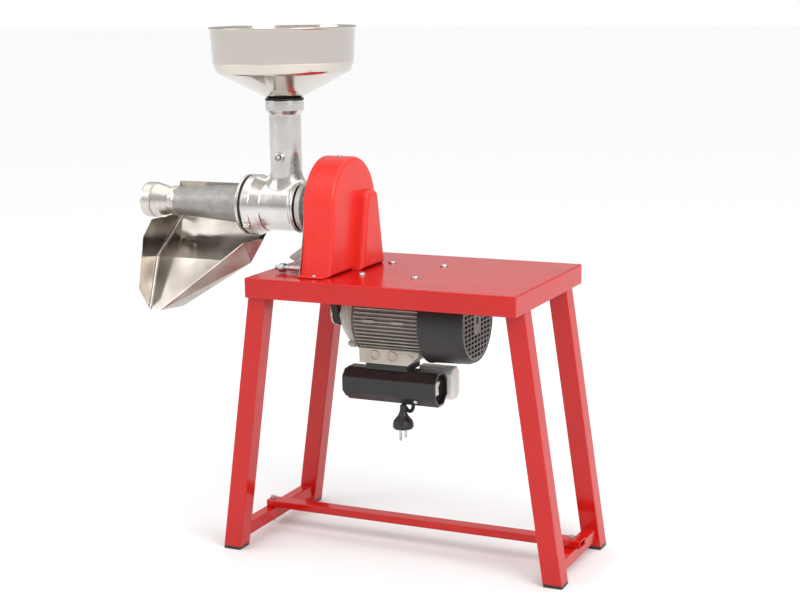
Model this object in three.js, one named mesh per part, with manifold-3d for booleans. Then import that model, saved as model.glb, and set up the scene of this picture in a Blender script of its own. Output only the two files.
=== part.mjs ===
// Electric fruit press on a folded-steel bench. A motor hangs under the bench top and drives an
// auger through a V-belt. Fruit falls from the hopper into the cast body, the auger pushes it
// through a perforated cone, juice runs down the chute and skins leave by the outlet ring.
// Millimetres, +Z up, +X along the bench away from the press, the operator stands at -Y.

import * as THREE from 'three';
import { mergeVertices } from 'three/addons/utils/BufferGeometryUtils.js';
import Module from 'manifold-3d';

const wasm = await Module();
wasm.setup();

// ---------------------------------------------------------------- driving dimensions

const GAP = 0.3; // clearance left between pieces that touch or slide
const TURN = Math.PI * 2;

const bench = { length: 445, depth: 295, top: 445, sheet: 2, apron: 31 };
const leg = { tube: 30, wall: 2, splay: 60, foot: 5, insetLeft: 6.5, insetRight: 39.5 };
const rung = { tube: 20, wall: 1.5, bottom: 14 };
const press = { y: -19, z: 540, mouth: -274, rear: -184, barrel: 40, bore: 36 }; // axis along X
const neck = { x: -213.5, outer: 25.3, bore: 21.5 };
const motor = { x: -19.5, y: -3, height: 71, footX: 90, footY: 112 };
const belt = { x: -128, width: 12, depth: 8 };
const pulleyRadius = { small: 22.5, large: 68 };

const benchBottom = bench.top - bench.apron;
const underTop = bench.top - bench.sheet;
const motorZ = underTop - motor.height;
const rungTop = rung.bottom + rung.tube;

// The frame's origin is on the floor, under the middle of the whole machine's box.
const centring = new THREE.Vector3(96.65, 0, 0);

const machine = new THREE.Group();
machine.position.copy(centring);

// ---------------------------------------------------------------- finishes

const finishes = {
  redPaint: { color: 0xb02a26, roughness: 0.25, metalness: 0.0 },
  redPlastic: { color: 0xd63a32, roughness: 0.3, metalness: 0.0 },
  castAluminium: { color: 0xb9b6b0, roughness: 0.35, metalness: 0.9 },
  stainless: { color: 0xbfbcb6, roughness: 0.2, metalness: 1.0 },
  steel: { color: 0x9a9a98, roughness: 0.35, metalness: 1.0 },
  motorPaint: { color: 0x8b857b, roughness: 0.55, metalness: 0.2 },
  blackPlastic: { color: 0x262422, roughness: 0.4, metalness: 0.0 },
  greyPlastic: { color: 0xa5a09e, roughness: 0.5, metalness: 0.0 },
  whitePlastic: { color: 0xe4e2de, roughness: 0.4, metalness: 0.0 },
  rubber: { color: 0x1b1a19, roughness: 0.8, metalness: 0.0 },
  iron: { color: 0x5c5a58, roughness: 0.6, metalness: 0.8 },
};

// ---------------------------------------------------------------- solid helpers

/** Signed volume of an indexed triangle mesh, positive when its faces point out. */
function signedVolume(positions, indices) {
  const [a, b, c] = [new THREE.Vector3(), new THREE.Vector3(), new THREE.Vector3()];
  let total = 0;
  for (let i = 0; i < indices.length; i += 3) {
    a.fromArray(positions, indices[i] * 3);
    b.fromArray(positions, indices[i + 1] * 3);
    c.fromArray(positions, indices[i + 2] * 3);
    total += a.dot(b.cross(c)) / 6;
  }
  return total;
}

/** Merges a geometry's shared vertices and turns its faces outwards. */
function closed(geometry) {
  const bare = geometry.clone();
  bare.deleteAttribute('normal');
  bare.deleteAttribute('uv');
  const merged = mergeVertices(bare, 1e-4);
  const index = merged.index.array;
  if (signedVolume(merged.attributes.position.array, index) < 0) {
    for (let i = 0; i < index.length; i += 3) {
      [index[i], index[i + 1]] = [index[i + 1], index[i]];
    }
  }
  return merged;
}

function toSolid(geometry) {
  const tidy = closed(geometry);
  return new wasm.Manifold(new wasm.Mesh({
    numProp: 3,
    vertProperties: tidy.attributes.position.array,
    triVerts: Uint32Array.from(tidy.index.array),
  }));
}

function fromSolid(solid) {
  const mesh = solid.getMesh();
  const geometry = new THREE.BufferGeometry();
  geometry.setAttribute('position', new THREE.BufferAttribute(mesh.vertProperties, 3));
  geometry.setIndex(new THREE.BufferAttribute(mesh.triVerts, 1));
  return geometry;
}

function join(...geometries) {
  return fromSolid(geometries.map(toSolid).reduce((sum, next) => sum.add(next)));
}

function cut(body, ...tools) {
  return fromSolid(tools.map(toSolid).reduce((left, tool) => left.subtract(tool), toSolid(body)));
}

function box(x0, x1, y0, y1, z0, z1) {
  const geometry = new THREE.BoxGeometry(x1 - x0, y1 - y0, z1 - z0);
  return geometry.translate((x0 + x1) / 2, (y0 + y1) / 2, (z0 + z1) / 2);
}

/** Cylinder along X, Y or Z between two places on that axis; at holds the other two places. */
function rod(axis, radius, from, to, at, segments = 20) {
  const geometry = new THREE.CylinderGeometry(radius, radius, to - from, segments);
  const middle = (from + to) / 2;
  if (axis === 'x') return geometry.rotateZ(-Math.PI / 2).translate(middle, at[0], at[1]);
  if (axis === 'y') return geometry.translate(at[0], middle, at[1]);
  return geometry.rotateX(Math.PI / 2).translate(at[0], at[1], middle);
}

/** Solid of revolution about X through (y, z); the profile is [radius, x] and closes itself. */
function turnedX(profile, [y, z], segments = 32) {
  const points = profile.map(([radius, x]) => new THREE.Vector2(radius, x));
  return new THREE.LatheGeometry(points, segments).rotateZ(-Math.PI / 2).translate(0, y, z);
}

/** Solid of revolution about Z through (x, y); the profile is [radius, z] and closes itself. */
function turnedZ(profile, [x, y], segments = 40) {
  const points = profile.map(([radius, z]) => new THREE.Vector2(radius, z));
  return new THREE.LatheGeometry(points, segments).rotateX(Math.PI / 2).translate(x, y, 0);
}

function flatShape(outline) {
  return new THREE.Shape(outline.map(([a, b]) => new THREE.Vector2(a, b)));
}

/** Prism along X of a (y, z) outline. */
function prismX(outline, x0, x1) {
  const shape = outline instanceof THREE.Shape ? outline : flatShape(outline);
  const options = { depth: x1 - x0, bevelEnabled: false, curveSegments: 10 };
  const basis = new THREE.Matrix4().makeBasis(
    new THREE.Vector3(0, 1, 0), new THREE.Vector3(0, 0, 1), new THREE.Vector3(1, 0, 0));
  return new THREE.ExtrudeGeometry(shape, options).applyMatrix4(basis).translate(x0, 0, 0);
}

/** Prism along Y of an (x, z) outline. */
function prismY(outline, y0, y1) {
  const options = { depth: y1 - y0, bevelEnabled: false };
  const geometry = new THREE.ExtrudeGeometry(flatShape(outline), options);
  return geometry.rotateX(Math.PI / 2).translate(0, y1, 0);
}

/** Hexagonal nut or bolt head along X, Y or Z, sized across its flats. */
function hexagon(axis, acrossFlats, from, to, at) {
  return rod(axis, acrossFlats / Math.sqrt(3), from, to, at, 6);
}

/** Round cable along a smooth curve through the given points. */
function cable(points, radius) {
  const curve = new THREE.CatmullRomCurve3(points.map((p) => new THREE.Vector3(...p)));
  const section = new THREE.Shape().absarc(0, 0, radius, 0, TURN);
  const options = { steps: points.length * 4, extrudePath: curve, curveSegments: 4 };
  return new THREE.ExtrudeGeometry(section, options);
}

/** Flat sheet of metal with the given corners, thickened equally to both sides. */
function sheet(corners, thickness) {
  const points = corners.map((c) => new THREE.Vector3(...c));
  const normal = new THREE.Vector3();
  for (let i = 0; i < points.length; i += 1) {
    normal.add(points[i].clone().cross(points[(i + 1) % points.length]));
  }
  normal.setLength(thickness / 2);
  const count = points.length;
  const places = [1, -1].flatMap((side) => points.flatMap(
    (point) => point.clone().addScaledVector(normal, side).toArray()));
  const faces = [];
  for (let i = 1; i < count - 1; i += 1) {
    faces.push(0, i, i + 1, count, count + i + 1, count + i);
  }
  for (let i = 0; i < count; i += 1) {
    const next = (i + 1) % count;
    faces.push(i, count + i, next, next, count + i, count + next);
  }
  const geometry = new THREE.BufferGeometry();
  geometry.setAttribute('position', new THREE.Float32BufferAttribute(places, 3));
  geometry.setIndex(faces);
  return geometry;
}

/** Names a solid, gives it a finish and adds it to the machine. */
function add(name, finish, geometry) {
  const shape = closed(geometry);
  shape.computeVertexNormals();
  const mesh = new THREE.Mesh(shape, new THREE.MeshStandardMaterial(finishes[finish]));
  mesh.name = name;
  machine.add(mesh);
}

// ---------------------------------------------------------------- bench

/** X of a leg's outer face at height z, for the +X end. */
function legOuterX(z) {
  const atApron = bench.length / 2 - bench.sheet - GAP;
  return atApron + ((benchBottom - z) * leg.splay) / benchBottom;
}

/** Square tube that leans outwards between two heights, with its walls moved inwards by inset. */
function leaningBar(side, y0, y1, z0, z1, inset) {
  const width = leg.tube / Math.cos(Math.atan(leg.splay / benchBottom));
  const outline = [
    [legOuterX(z0) - inset, z0],
    [legOuterX(z1) - inset, z1],
    [legOuterX(z1) - width + inset, z1],
    [legOuterX(z0) - width + inset, z0],
  ];
  return prismY(outline.map(([x, z]) => [x * side, z]), y0 + inset, y1 - inset);
}

function addLeg(name, side, frontY) {
  const backY = frontY + leg.tube;
  const top = underTop - GAP;
  const outer = leaningBar(side, frontY, backY, leg.foot, top, 0);
  const inner = leaningBar(side, frontY, backY, leg.foot - 1, top + 1, leg.wall);
  add(`leg_${name}`, 'redPaint', cut(outer, inner));
}

/** Plastic cap under a leg: a level sole and a rim around the tube. */
function addFootCap(name, side, frontY) {
  const rim = 1.5;
  const backY = frontY + leg.tube;
  const shell = leaningBar(side, frontY, backY, 0, leg.foot + 6, -rim);
  const socket = leaningBar(side, frontY, backY, leg.foot - GAP, leg.foot + 7, -GAP);
  add(`foot_cap_${name}`, 'blackPlastic', cut(shell, socket));
}

function addBenchTop() {
  const [halfX, halfY] = [bench.length / 2, bench.depth / 2];
  const tray = cut(
    box(-halfX, halfX, -halfY, halfY, benchBottom, bench.top),
    box(-halfX + bench.sheet, halfX - bench.sheet, -halfY + bench.sheet, halfY - bench.sheet,
      benchBottom - 1, underTop));
  const beltSlot = box(belt.x - 12, belt.x + 14, -62, 44, underTop - 1, bench.top + 1);
  const bolts = motorBoltPlaces().map((at) => rod('z', 3.6, underTop - 1, bench.top + 1, at, 16));
  const bracketBolts = bracketBoltPlaces().map(
    (at) => rod('z', 4.3, underTop - 1, bench.top + 1, at, 16));
  add('bench_top', 'redPaint', cut(tray, beltSlot, ...bolts, ...bracketBolts));
}

function addRung(side, frontY, name) {
  const centre = (legOuterX(rung.bottom + rung.tube / 2) - 15.2) * side;
  const [x0, x1] = [centre - rung.tube / 2, centre + rung.tube / 2];
  const y0 = frontY + leg.tube + 0.05;
  const wall = rung.wall;
  const outer = box(x0, x1, y0, -y0, rung.bottom, rungTop);
  const inner = box(x0 + wall, x1 - wall, y0 - 1, 1 - y0, rung.bottom + wall, rungTop - wall);
  const bolt = rod('z', 2.9, rung.bottom - 1, rungTop + 1, [centre, rail.y], 12);
  add(`end_rung_${name}`, 'redPaint', cut(outer, inner, bolt));
  return centre;
}

const rail = { y: -9.5, x0: -267, x1: 279, width: 25, height: 12, wall: 1.5, bottom: rungTop + 0.05 };
const railTop = rail.bottom + rail.height;

function addRail(boltXs) {
  const { x0, x1, wall, bottom } = rail;
  const [y0, y1] = [rail.y - rail.width / 2, rail.y + rail.width / 2];
  const outer = box(x0, x1, y0, y1, bottom, railTop);
  const inner = box(x0 - 1, x1 + 1, y0 + wall, y1 - wall, bottom + wall, railTop - wall);
  const holes = boltXs.map((x) => rod('z', 2.9, bottom - 1, railTop + 1, [x, rail.y], 12));
  add('long_rail', 'redPaint', cut(outer, inner, ...holes));
}

/** Hexagon bolt, washer and nut that clamp the long rail to an end rung. */
function addRailBolt(name, x) {
  const at = [x, rail.y];
  add(`rail_bolt_${name}`, 'steel', join(
    rod('z', 2.5, rung.bottom - 7, railTop + 1, at, 12),
    rod('z', 5, railTop + 0.05, railTop + 1.1, at, 16),
    hexagon('z', 8, railTop + 1, railTop + 4.5, at),
    hexagon('z', 8, rung.bottom - 4.1, rung.bottom - 0.1, at)));
}

function addBench() {
  const frontLeft = -bench.depth / 2 + leg.insetLeft;
  const frontRight = -bench.depth / 2 + leg.insetRight;
  const places = [
    ['front_left', -1, frontLeft],
    ['back_left', -1, -frontLeft - leg.tube],
    ['front_right', 1, frontRight],
    ['back_right', 1, -frontRight - leg.tube],
  ];
  addBenchTop();
  for (const [name, side, y] of places) {
    addLeg(name, side, y);
    addFootCap(name, side, y);
  }
  const left = addRung(-1, frontLeft, 'left');
  const right = addRung(1, frontRight, 'right');
  addRail([left, right]);
  addRailBolt('left', left);
  addRailBolt('right', right);
}

// ---------------------------------------------------------------- motor

function motorBoltPlaces() {
  return [-1, 1].flatMap((sx) => [-1, 1].map((sy) => [
    motor.x + (sx * motor.footX) / 2,
    motor.y + (sy * motor.footY) / 2,
  ]));
}

const motorAxis = [motor.y, motorZ];
const stator = { x0: -84, x1: 31, fin: 57, shell: 50, bore: 46, core0: -61, core1: 9 };

const wireHole = { x0: -50, x1: -30 };

/** Finned cast shell with two feet that bolt up to the bench top. */
function addMotorShell() {
  const { x0, x1, fin, shell, bore } = stator;
  const finPitch = 6.4;
  const pieces = [rod('x', shell, x0, x1, motorAxis, 32)];
  for (let i = -7; i <= 7; i += 1) {
    const height = i * finPitch;
    const half = Math.sqrt(fin * fin - height * height);
    const z = motorZ + height;
    pieces.push(box(x0 + 3, x1 - 2, motor.y - half, motor.y + half, z - 0.9, z + 0.9));
  }
  const footTop = underTop - GAP;
  for (const side of [-1, 1]) {
    const middle = motor.y + (side * motor.footY) / 2;
    const footLength = 108;
    pieces.push(box(motor.x - footLength / 2, motor.x + footLength / 2,
      middle - 12, middle + 12, footTop - 9, footTop));
    const web = [
      [middle + side * 12, footTop - 9],
      [middle - side * 12, footTop - 1],
      [motor.y + side * 30, motorZ + 30],
      [motor.y + side * 44, motorZ + 12],
      [middle + side * 2, footTop - 9],
    ];
    pieces.push(prismX(web, motor.x - 36, motor.x - 26));
    pieces.push(prismX(web, motor.x + 12, motor.x + 22));
  }
  pieces.push(box(x0 + 8, x0 + 84, motor.y - 26, motor.y + 26, motorZ - 58, motorZ - 40));
  const holes = motorBoltPlaces().map((at) => rod('z', 3.6, footTop - 10, footTop + 1, at, 16));
  add('motor_shell', 'motorPaint', cut(join(...pieces),
    rod('x', bore, x0 - 1, x1 + 1, motorAxis, 28),
    box(wireHole.x0, wireHole.x1, motor.y - 8, motor.y + 8, motorZ - 60, motorZ - 40), ...holes));
}

/** Low round-headed bolts through the bench top, each with its nut under the motor's foot. */
function addMotorBolts() {
  const names = ['front_left', 'back_left', 'front_right', 'back_right'];
  motorBoltPlaces().forEach((at, i) => {
    const name = names[i];
    const footBottom = underTop - GAP - 9;
    add(`motor_bolt_${name}`, 'steel', join(
      rod('z', 3.1, footBottom - 8, bench.top + 1, at, 10),
      turnedZ([[0, bench.top + 0.1], [6.5, bench.top + 0.1], [6.5, bench.top + 1.2],
        [4.6, bench.top + 3.4], [0, bench.top + 3.4]], at, 16),
      hexagon('z', 10, footBottom - 5.2, footBottom - 0.1, at)));
  });
}

/** Conical front shield with four lugs, and the flat rear shield inside the fan cover. */
function addMotorShields() {
  const { x0, x1 } = stator;
  const nose = x0 - 33.5;
  const front = turnedX([
    [9, nose], [26, nose], [34, nose + 3.5], [48, nose + 16], [56.5, nose + 28], [57.5, x0 - GAP],
    [49, x0 - GAP], [46, nose + 26], [31, nose + 9], [24, nose + 6], [24, nose + 16.5],
    [17.8, nose + 16.5], [17.8, nose + 4.5], [9, nose + 4.5], [9, nose],
  ], motorAxis, 28);
  const lugs = [0, 1, 2, 3].map((i) => {
    const angle = (i + 0.5) * (TURN / 4);
    const at = [motor.y + 58 * Math.cos(angle), motorZ + 58 * Math.sin(angle)];
    return rod('x', 5, x0 - 9, x0 - GAP, at, 10);
  });
  add('motor_front_shield', 'motorPaint', join(front, ...lugs));
  add('motor_rear_shield', 'motorPaint', turnedX([
    [17.8, x1 + 1], [52, x1 + GAP], [55, x1 + GAP], [55, x1 + 5], [26, x1 + 8], [26, x1 + 11],
    [9, x1 + 11], [9, x1 + 10], [17.8, x1 + 10], [17.8, x1 + 1],
  ], motorAxis, 24));
}

/** Fan cover: a shell open towards the motor, with slots across its end. */
function addFanCover() {
  const [inner, outer, lip] = [66, 68.5, 62];
  const start = stator.x1 + 2;
  const end = start + 72.5;
  const shell = turnedX([
    [inner + 1, start], [outer + 1, start], [outer, start + 8], [outer - 2, end - 11.5],
    [lip, end], [0, end], [0, end - 2.5], [lip - 1.5, end - 2.5], [inner - 2.5, end - 12.5],
    [inner - 0.5, start + 8], [inner + 1, start],
  ], motorAxis, 36);
  const slots = [];
  for (let row = -4; row <= 4; row += 1) {
    const height = row * 12;
    const z = motorZ + height;
    const reach = Math.sqrt(57 * 57 - height * height);
    const hub = Math.abs(row) < 2 ? 14 : 1.2;
    slots.push(box(end - 4, end + 2, motor.y - reach, motor.y - hub, z - 4, z + 4));
    slots.push(box(end - 4, end + 2, motor.y + hub, motor.y + reach, z - 4, z + 4));
  }
  add('fan_cover', 'blackPlastic', cut(shell, ...slots));
}

function ring(outer, inner, x0, x1, at, segments = 24) {
  return turnedX([[inner, x0], [outer, x0], [outer, x1], [inner, x1], [inner, x0]], at, segments);
}

function addMotorInside() {
  const { x0, x1, core0, core1 } = stator;
  const [discX, bladeDepth] = [x1 + 13, 24];
  add('stator_core', 'iron', ring(stator.bore - 1, 32, core0, core1, motorAxis));
  add('motor_bearing_front', 'steel', ring(17.5, 7.8, x0 - 28.5, x0 - 18, motorAxis));
  add('motor_bearing_rear', 'steel', ring(17.5, 7.8, x1 + 1.2, x1 + 9.7, motorAxis));
  add('motor_shaft', 'steel', rod('x', 7.2, -142, discX + 32, motorAxis, 20));
  add('rotor_core', 'iron', ring(31, 7.8, core0, core1, motorAxis));
  const blades = [];
  for (let i = 0; i < 7; i += 1) {
    const blade = box(discX + 3, discX + 3 + bladeDepth, -1.2, 1.2, 12, 52);
    blades.push(blade.rotateX((i * TURN) / 7).translate(0, motor.y, motorZ));
  }
  const hub = ring(14, 7.8, discX + 1, discX + 31, motorAxis, 20);
  const disc = ring(52, 10, discX, discX + 3.5, motorAxis, 24);
  add('motor_fan', 'blackPlastic', join(hub, disc, ...blades));
}

// ---------------------------------------------------------------- electrics under the motor

const terminal = { x0: -80, x1: 3, y0: -40, y1: 34, top: 325, bottom: 301 };
const starter = { x0: -112, x1: 51, y: -22, z: 264.5, halfY: 25, halfZ: 27.2, chamfer: 14 };
const gland = { x: 3, radius: 4.2 };

function octagon(y, z, halfY, halfZ, chamfer) {
  return [
    [y - halfY, z - halfZ + chamfer], [y - halfY + chamfer, z - halfZ],
    [y + halfY - chamfer, z - halfZ], [y + halfY, z - halfZ + chamfer],
    [y + halfY, z + halfZ - chamfer], [y + halfY - chamfer, z + halfZ],
    [y - halfY + chamfer, z + halfZ], [y - halfY, z + halfZ - chamfer],
  ];
}

/** Cast terminal base under the shell, with two blanked cable entries facing the operator. */
function addTerminalBase() {
  const { x0, x1, y0, y1, top, bottom } = terminal;
  const outline = [[x0, bottom], [x1, bottom], [x1 + 19, bottom + 17], [x1 + 19, top], [x0, top]];
  const padRoom = box(x0 - 1, x1 + 20, motor.y - 26 - GAP, motor.y + 26 + GAP,
    motorZ - 58 - GAP, top + 1);
  const shellRoom = rod('x', stator.fin + GAP, x0 - 1, x1 + 20, motorAxis, 48);
  const cavity = box(x0 + 3, x1 - 3, y0 + 3, y1 - 3, bottom - 1, bottom + 9);
  const wires = box(wireHole.x0, wireHole.x1, motor.y - 8, motor.y + 8, bottom, top);
  const shell = cut(prismY(outline, y0, y1), padRoom, shellRoom, cavity, wires);
  const entries = [x0 + 27.5, x0 + 57].map((x) => ring(8, 5.2, 0, 4, [0, 0], 16)
    .rotateZ(-Math.PI / 2).translate(x, y0 + 1, bottom + 13));
  add('terminal_base', 'castAluminium', join(shell, ...entries));
}

/** Black starter housing: an octagonal tube with a closed left end and a recessed switch end. */
function addStarter() {
  const { x0, x1, y, z, halfY, halfZ, chamfer } = starter;
  const outer = prismX(octagon(y, z, halfY, halfZ, chamfer), x0 + 8, x1);
  const nose = prismX(octagon(y, z, halfY - 5, halfZ - 5, chamfer - 4), x0, x0 + 9);
  const inner = prismX(octagon(y, z, halfY - 3, halfZ - 3, chamfer - 1), x0 + 11, x1 - 12);
  const recess = prismX(octagon(y, z, halfY - 4, halfZ - 4, chamfer - 2), x1 - 8, x1 + 1);
  const switchHole = box(x1 - 13, x1 - 7, y - 7, y + 7, z - 12, z + 12);
  const cableHole = rod('z', gland.radius, z - halfZ - 1, z - halfZ + 5, [gland.x, y], 14);
  const spacer = box(x0 + 40, gland.x - 3, y - 14, y + 36, z + halfZ - 2, terminal.bottom - GAP);
  const housing = cut(join(outer, nose, spacer), inner, recess, switchHole, cableHole);
  add('starter_housing', 'blackPlastic', housing);
  const rockerOutline = [[x1 - 12, z - 11], [x1 - 6.2, z - 11], [x1 - 7.4, z], [x1 - 4.2, z + 11],
    [x1 - 12, z + 11]];
  add('switch_rocker', 'whitePlastic', prismY(rockerOutline, y - 6.4, y + 6.4));
  add('run_capacitor', 'greyPlastic', capacitorBox(y + halfY + GAP));
}

function capacitorBox(y0) {
  const [depth, middle, half] = [34, 265.5, 26];
  return prismX(octagon(y0 + depth / 2, middle, depth / 2, half, 9), 0, 58);
}

const cableStart = [gland.x, starter.y, starter.z - starter.halfZ + 1];

/** Mains cable in a short loop under the starter, with the plug hung beside it. */
function addCableAndPlug() {
  const { y } = starter;
  add('power_cable', 'rubber', cable([
    cableStart, [4.5, y - 1, 231], [1, y - 1, 226.5], [-5, y - 0.5, 227], [-9, y + 0.5, 231],
    [-11, y + 1, 234],
  ], 3.2));
  const at = [-11, y - 8];
  const [face, pinTip] = [198, 180];
  add('mains_plug', 'blackPlastic', turnedZ([
    [0, face + 38.5], [4.4, face + 38.5], [5.2, face + 28], [8, face + 21], [15, face + 12],
    [16.5, face + 8], [16.5, face], [0, face],
  ], at, 24));
  const pins = [-9.5, 9.5].map((offset) => rod('z', 2.4, pinTip, face, [at[0], at[1] + offset], 12));
  const bridge = box(at[0] - 1, at[0] + 1, at[1] - 10, at[1] + 10, face - 1.6, face - 0.1);
  add('plug_pins', 'steel', join(...pins, bridge));
}

// ---------------------------------------------------------------- belt drive

const pressAxis = [press.y, press.z];

/** V-pulley: a rim with a groove, a web and a hub, turned about X. */
function pulley(radius, hub, bore, width, at, segments) {
  const [x0, x1] = [belt.x - width / 2, belt.x + width / 2];
  const root = radius - belt.depth - 1;
  const [web0, web1] = radius > 40 ? [belt.x - 4, belt.x + 4] : [x0, x1];
  const rim = radius - belt.depth - 6;
  const profile = [
    [bore, x0], [hub, x0], [hub, web0], [rim, web0], [rim, x0], [radius, x0],
    [radius, belt.x - 6.8], [root, belt.x - 4.6], [root, belt.x + 4.6], [radius, belt.x + 6.8],
    [radius, x1], [rim, x1], [rim, web1], [hub, web1], [hub, x1], [bore, x1], [bore, x0],
  ];
  const solidHub = [
    [bore, x0], [radius, x0], [radius, belt.x - 6.8], [root, belt.x - 4.6],
    [root, belt.x + 4.6], [radius, belt.x + 6.8], [radius, x1], [bore, x1], [bore, x0],
  ];
  return turnedX(radius > 40 ? profile : solidHub, at, segments);
}

/** Closed path of an open belt around two pulleys, as a (y, z) outline with a hole. */
function beltLoop(outerLarge, outerSmall) {
  const large = new THREE.Vector2(...pressAxis);
  const small = new THREE.Vector2(...motorAxis);
  const along = small.clone().sub(large);
  const lean = Math.acos((outerLarge - outerSmall) / along.length());
  const heading = Math.atan2(along.y, along.x);
  const shape = new THREE.Shape();
  shape.absarc(large.x, large.y, outerLarge, heading + lean, heading - lean + TURN, false);
  shape.absarc(small.x, small.y, outerSmall, heading - lean, heading + lean, false);
  shape.closePath();
  return shape;
}

function addBelt() {
  const { small, large } = pulleyRadius;
  const half = belt.width / 2;
  const clear = GAP;
  const outer = prismX(beltLoop(large - 0.5, small - 0.5), belt.x - half, belt.x + half);
  const inner = prismX(beltLoop(large - belt.depth, small - belt.depth),
    belt.x - half - 1, belt.x + half + 1);
  const groove = (radius, at) => {
    const root = radius - belt.depth - 1 + clear;
    return turnedX([
      [root - 4, belt.x - 12], [radius + 3, belt.x - 12], [radius + 3, belt.x - 7.1 + clear],
      [root, belt.x - 4.6 + clear], [root, belt.x + 4.6 - clear],
      [radius + 3, belt.x + 7.1 - clear], [radius + 3, belt.x + 12], [root - 4, belt.x + 12],
      [root - 4, belt.x - 12],
    ], at, 36);
  };
  const loop = cut(outer, inner, groove(large, pressAxis), groove(small, motorAxis));
  add('v_belt', 'rubber', loop);
}

function addPulleys() {
  const { small, large } = pulleyRadius;
  add('motor_pulley', 'castAluminium', pulley(small, 12, 7.8, 20, motorAxis, 28));
  add('large_pulley', 'castAluminium', pulley(large, 20, 10.3, 20, pressAxis, 36));
  add('drive_shaft', 'steel', join(
    rod('x', 10, press.rear - 31, -110, pressAxis, 20),
    rod('x', 7, -111, -102, pressAxis, 16)));
  add('pulley_nut', 'steel', cut(
    join(hexagon('x', 22, -112.5, -104.5, pressAxis),
      rod('x', 15, -117.5, -112.4, pressAxis, 20)),
    rod('x', 10 + GAP, -118, -109.7, pressAxis, 20),
    rod('x', 7 + GAP, -110, -104, pressAxis, 16)));
}

const bracket = { x0: press.rear + 6, x1: -146, plate0: -153, baseTop: 453, y0: -62, y1: 26 };

function bracketBoltPlaces() {
  return [[-170, bracket.y0 + 16], [-170, bracket.y1 - 16]];
}

/** Cast bearing bracket: a hub on a plate, braced to a foot that bolts to the bench top. */
function addBracket() {
  const { x0, x1, plate0, baseTop, y0, y1 } = bracket;
  const seat = bench.top + 0.05;
  const hub = rod('x', 30, x0, x1, pressAxis, 28);
  const flange = rod('x', 38, x0, x0 + 6, pressAxis, 28);
  const plate = prismX([[y0, seat], [y1, seat], [press.y + 26, press.z], [press.y - 26, press.z]],
    plate0, x1);
  const foot = box(x0 - 6, x1, y0, y1, seat, baseTop);
  const spineOutline = [[x1 - 2, seat + 2], [x0 - 12, seat + 2], [x0 - 36, seat + 12],
    [x0 - 8, seat + 32], [x0 + 8, seat + 60], [x0 + 8, press.z - 28], [x1 - 2, press.z - 28]];
  const ribs = [y0 + 1, y1 - 7].map((y) => prismY(
    [[x0 - 5, seat + 2], [x1 - 2, seat + 2], [x1 - 2, baseTop + 30], [x0 - 5, baseTop + 4]],
    y, y + 6));
  const spine = prismY(spineOutline, press.y - 3, press.y + 3);
  const bore = rod('x', 24, x0 - 1, x1 - 5, pressAxis, 24);
  const shaftHole = rod('x', 13, x0 - 6, x1 + 1, pressAxis, 20);
  const holes = bracketBoltPlaces().map((at) => rod('z', 4.3, seat - 1, baseTop + 1, at, 14));
  const stud = rod('x', 4.3, plate0 - 1, x1 + 1, [studPlace.y, studPlace.z], 14);
  const ear = prismX([[studPlace.y - 9, seat], [y0 + 3, seat], [y0 + 3, studPlace.z + 12],
    [studPlace.y - 9, studPlace.z + 7]], plate0, x1);
  add('bearing_bracket', 'castAluminium',
    cut(join(hub, flange, plate, foot, spine, ear, ...ribs), bore, shaftHole, stud, ...holes));
  bracketBoltPlaces().forEach((at, i) => {
    add(`bracket_bolt_${i + 1}`, 'steel', join(
      rod('z', 4, underTop - 10, baseTop + 1, at, 14),
      hexagon('z', 13, baseTop + 0.1, baseTop + 5.4, at)));
  });
  add('bearing_left', 'steel', ring(23.5, 10.3, x0 + 1, x0 + 12, pressAxis));
  add('bearing_right', 'steel', ring(23.5, 10.3, x1 - 17, x1 - 6, pressAxis));
}

const studPlace = { y: -88, z: 453 };

/** Threaded stud and nut that tie the guard's foot to the bearing bracket. */
function addGuardStud() {
  const at = [studPlace.y, studPlace.z];
  add('guard_stud', 'steel', join(rod('x', 4, -199, -139, at, 16),
    hexagon('x', 13, -192, -184.5, at)));
}

// ---------------------------------------------------------------- belt guard

const guard = { x0: -144.5, x1: -94, wall: 2.5, y: -18, arcZ: 546, radius: 76, foot: 98 };

/** Guard outline (y, z) at a given inset: a round top that flares to a wider foot. */
function guardOutline(inset) {
  const { y, arcZ, radius, foot } = guard;
  const bottom = bench.top + 0.5 - (inset > 0 ? 2 : 0);
  const r = radius - inset;
  const shape = new THREE.Shape();
  shape.moveTo(y + foot - inset, bottom);
  shape.bezierCurveTo(y + foot - 12 - inset, bottom + 50, y + r, arcZ - 30, y + r * 0.985, arcZ + 8);
  shape.absarc(y, arcZ, r, 0.1, Math.PI - 0.1, false);
  shape.bezierCurveTo(y - r, arcZ - 30, y - foot + 12 + inset, bottom + 50, y - foot + inset, bottom);
  shape.closePath();
  return shape;
}

/** Raised housing on the guard's outer face, wide at the foot and narrow at the top. */
function bulge(inset) {
  const top = 566 - inset;
  const bottom = bench.top + 0.5 - (inset > 0 ? 2 : 0);
  const front = [[-29 + inset, bottom], [54 - inset, bottom], [33 - inset, top - 6],
    [27 - inset, top], [inset, top], [-6 + inset, top - 6]];
  return prismX(front, guard.x1 - 6, guard.x1 + 17 - inset);
}

function addGuard() {
  const { x0, x1, wall } = guard;
  const skin = join(prismX(guardOutline(0), x0, x1), bulge(0));
  const hollow = join(prismX(guardOutline(wall), x0 - 1, x1 - wall), bulge(wall));
  add('belt_guard', 'redPlastic', cut(skin, hollow));
  const plate = prismX(guardOutline(wall + GAP), x0 - 1.2, x0 - 0.1);
  const shaftHole = rod('x', 15, x0 - 2, x0 + 1, pressAxis, 20);
  const studHole = rod('x', 4 + GAP, x0 - 2, x0 + 1, [studPlace.y, studPlace.z], 12);
  const floor = box(x0 - 2, x0 + 1, -150, 150, bench.top - 5, bench.top + 0.5);
  add('guard_back_plate', 'steel', cut(plate, shaftHole, studHole, floor));
}

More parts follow.
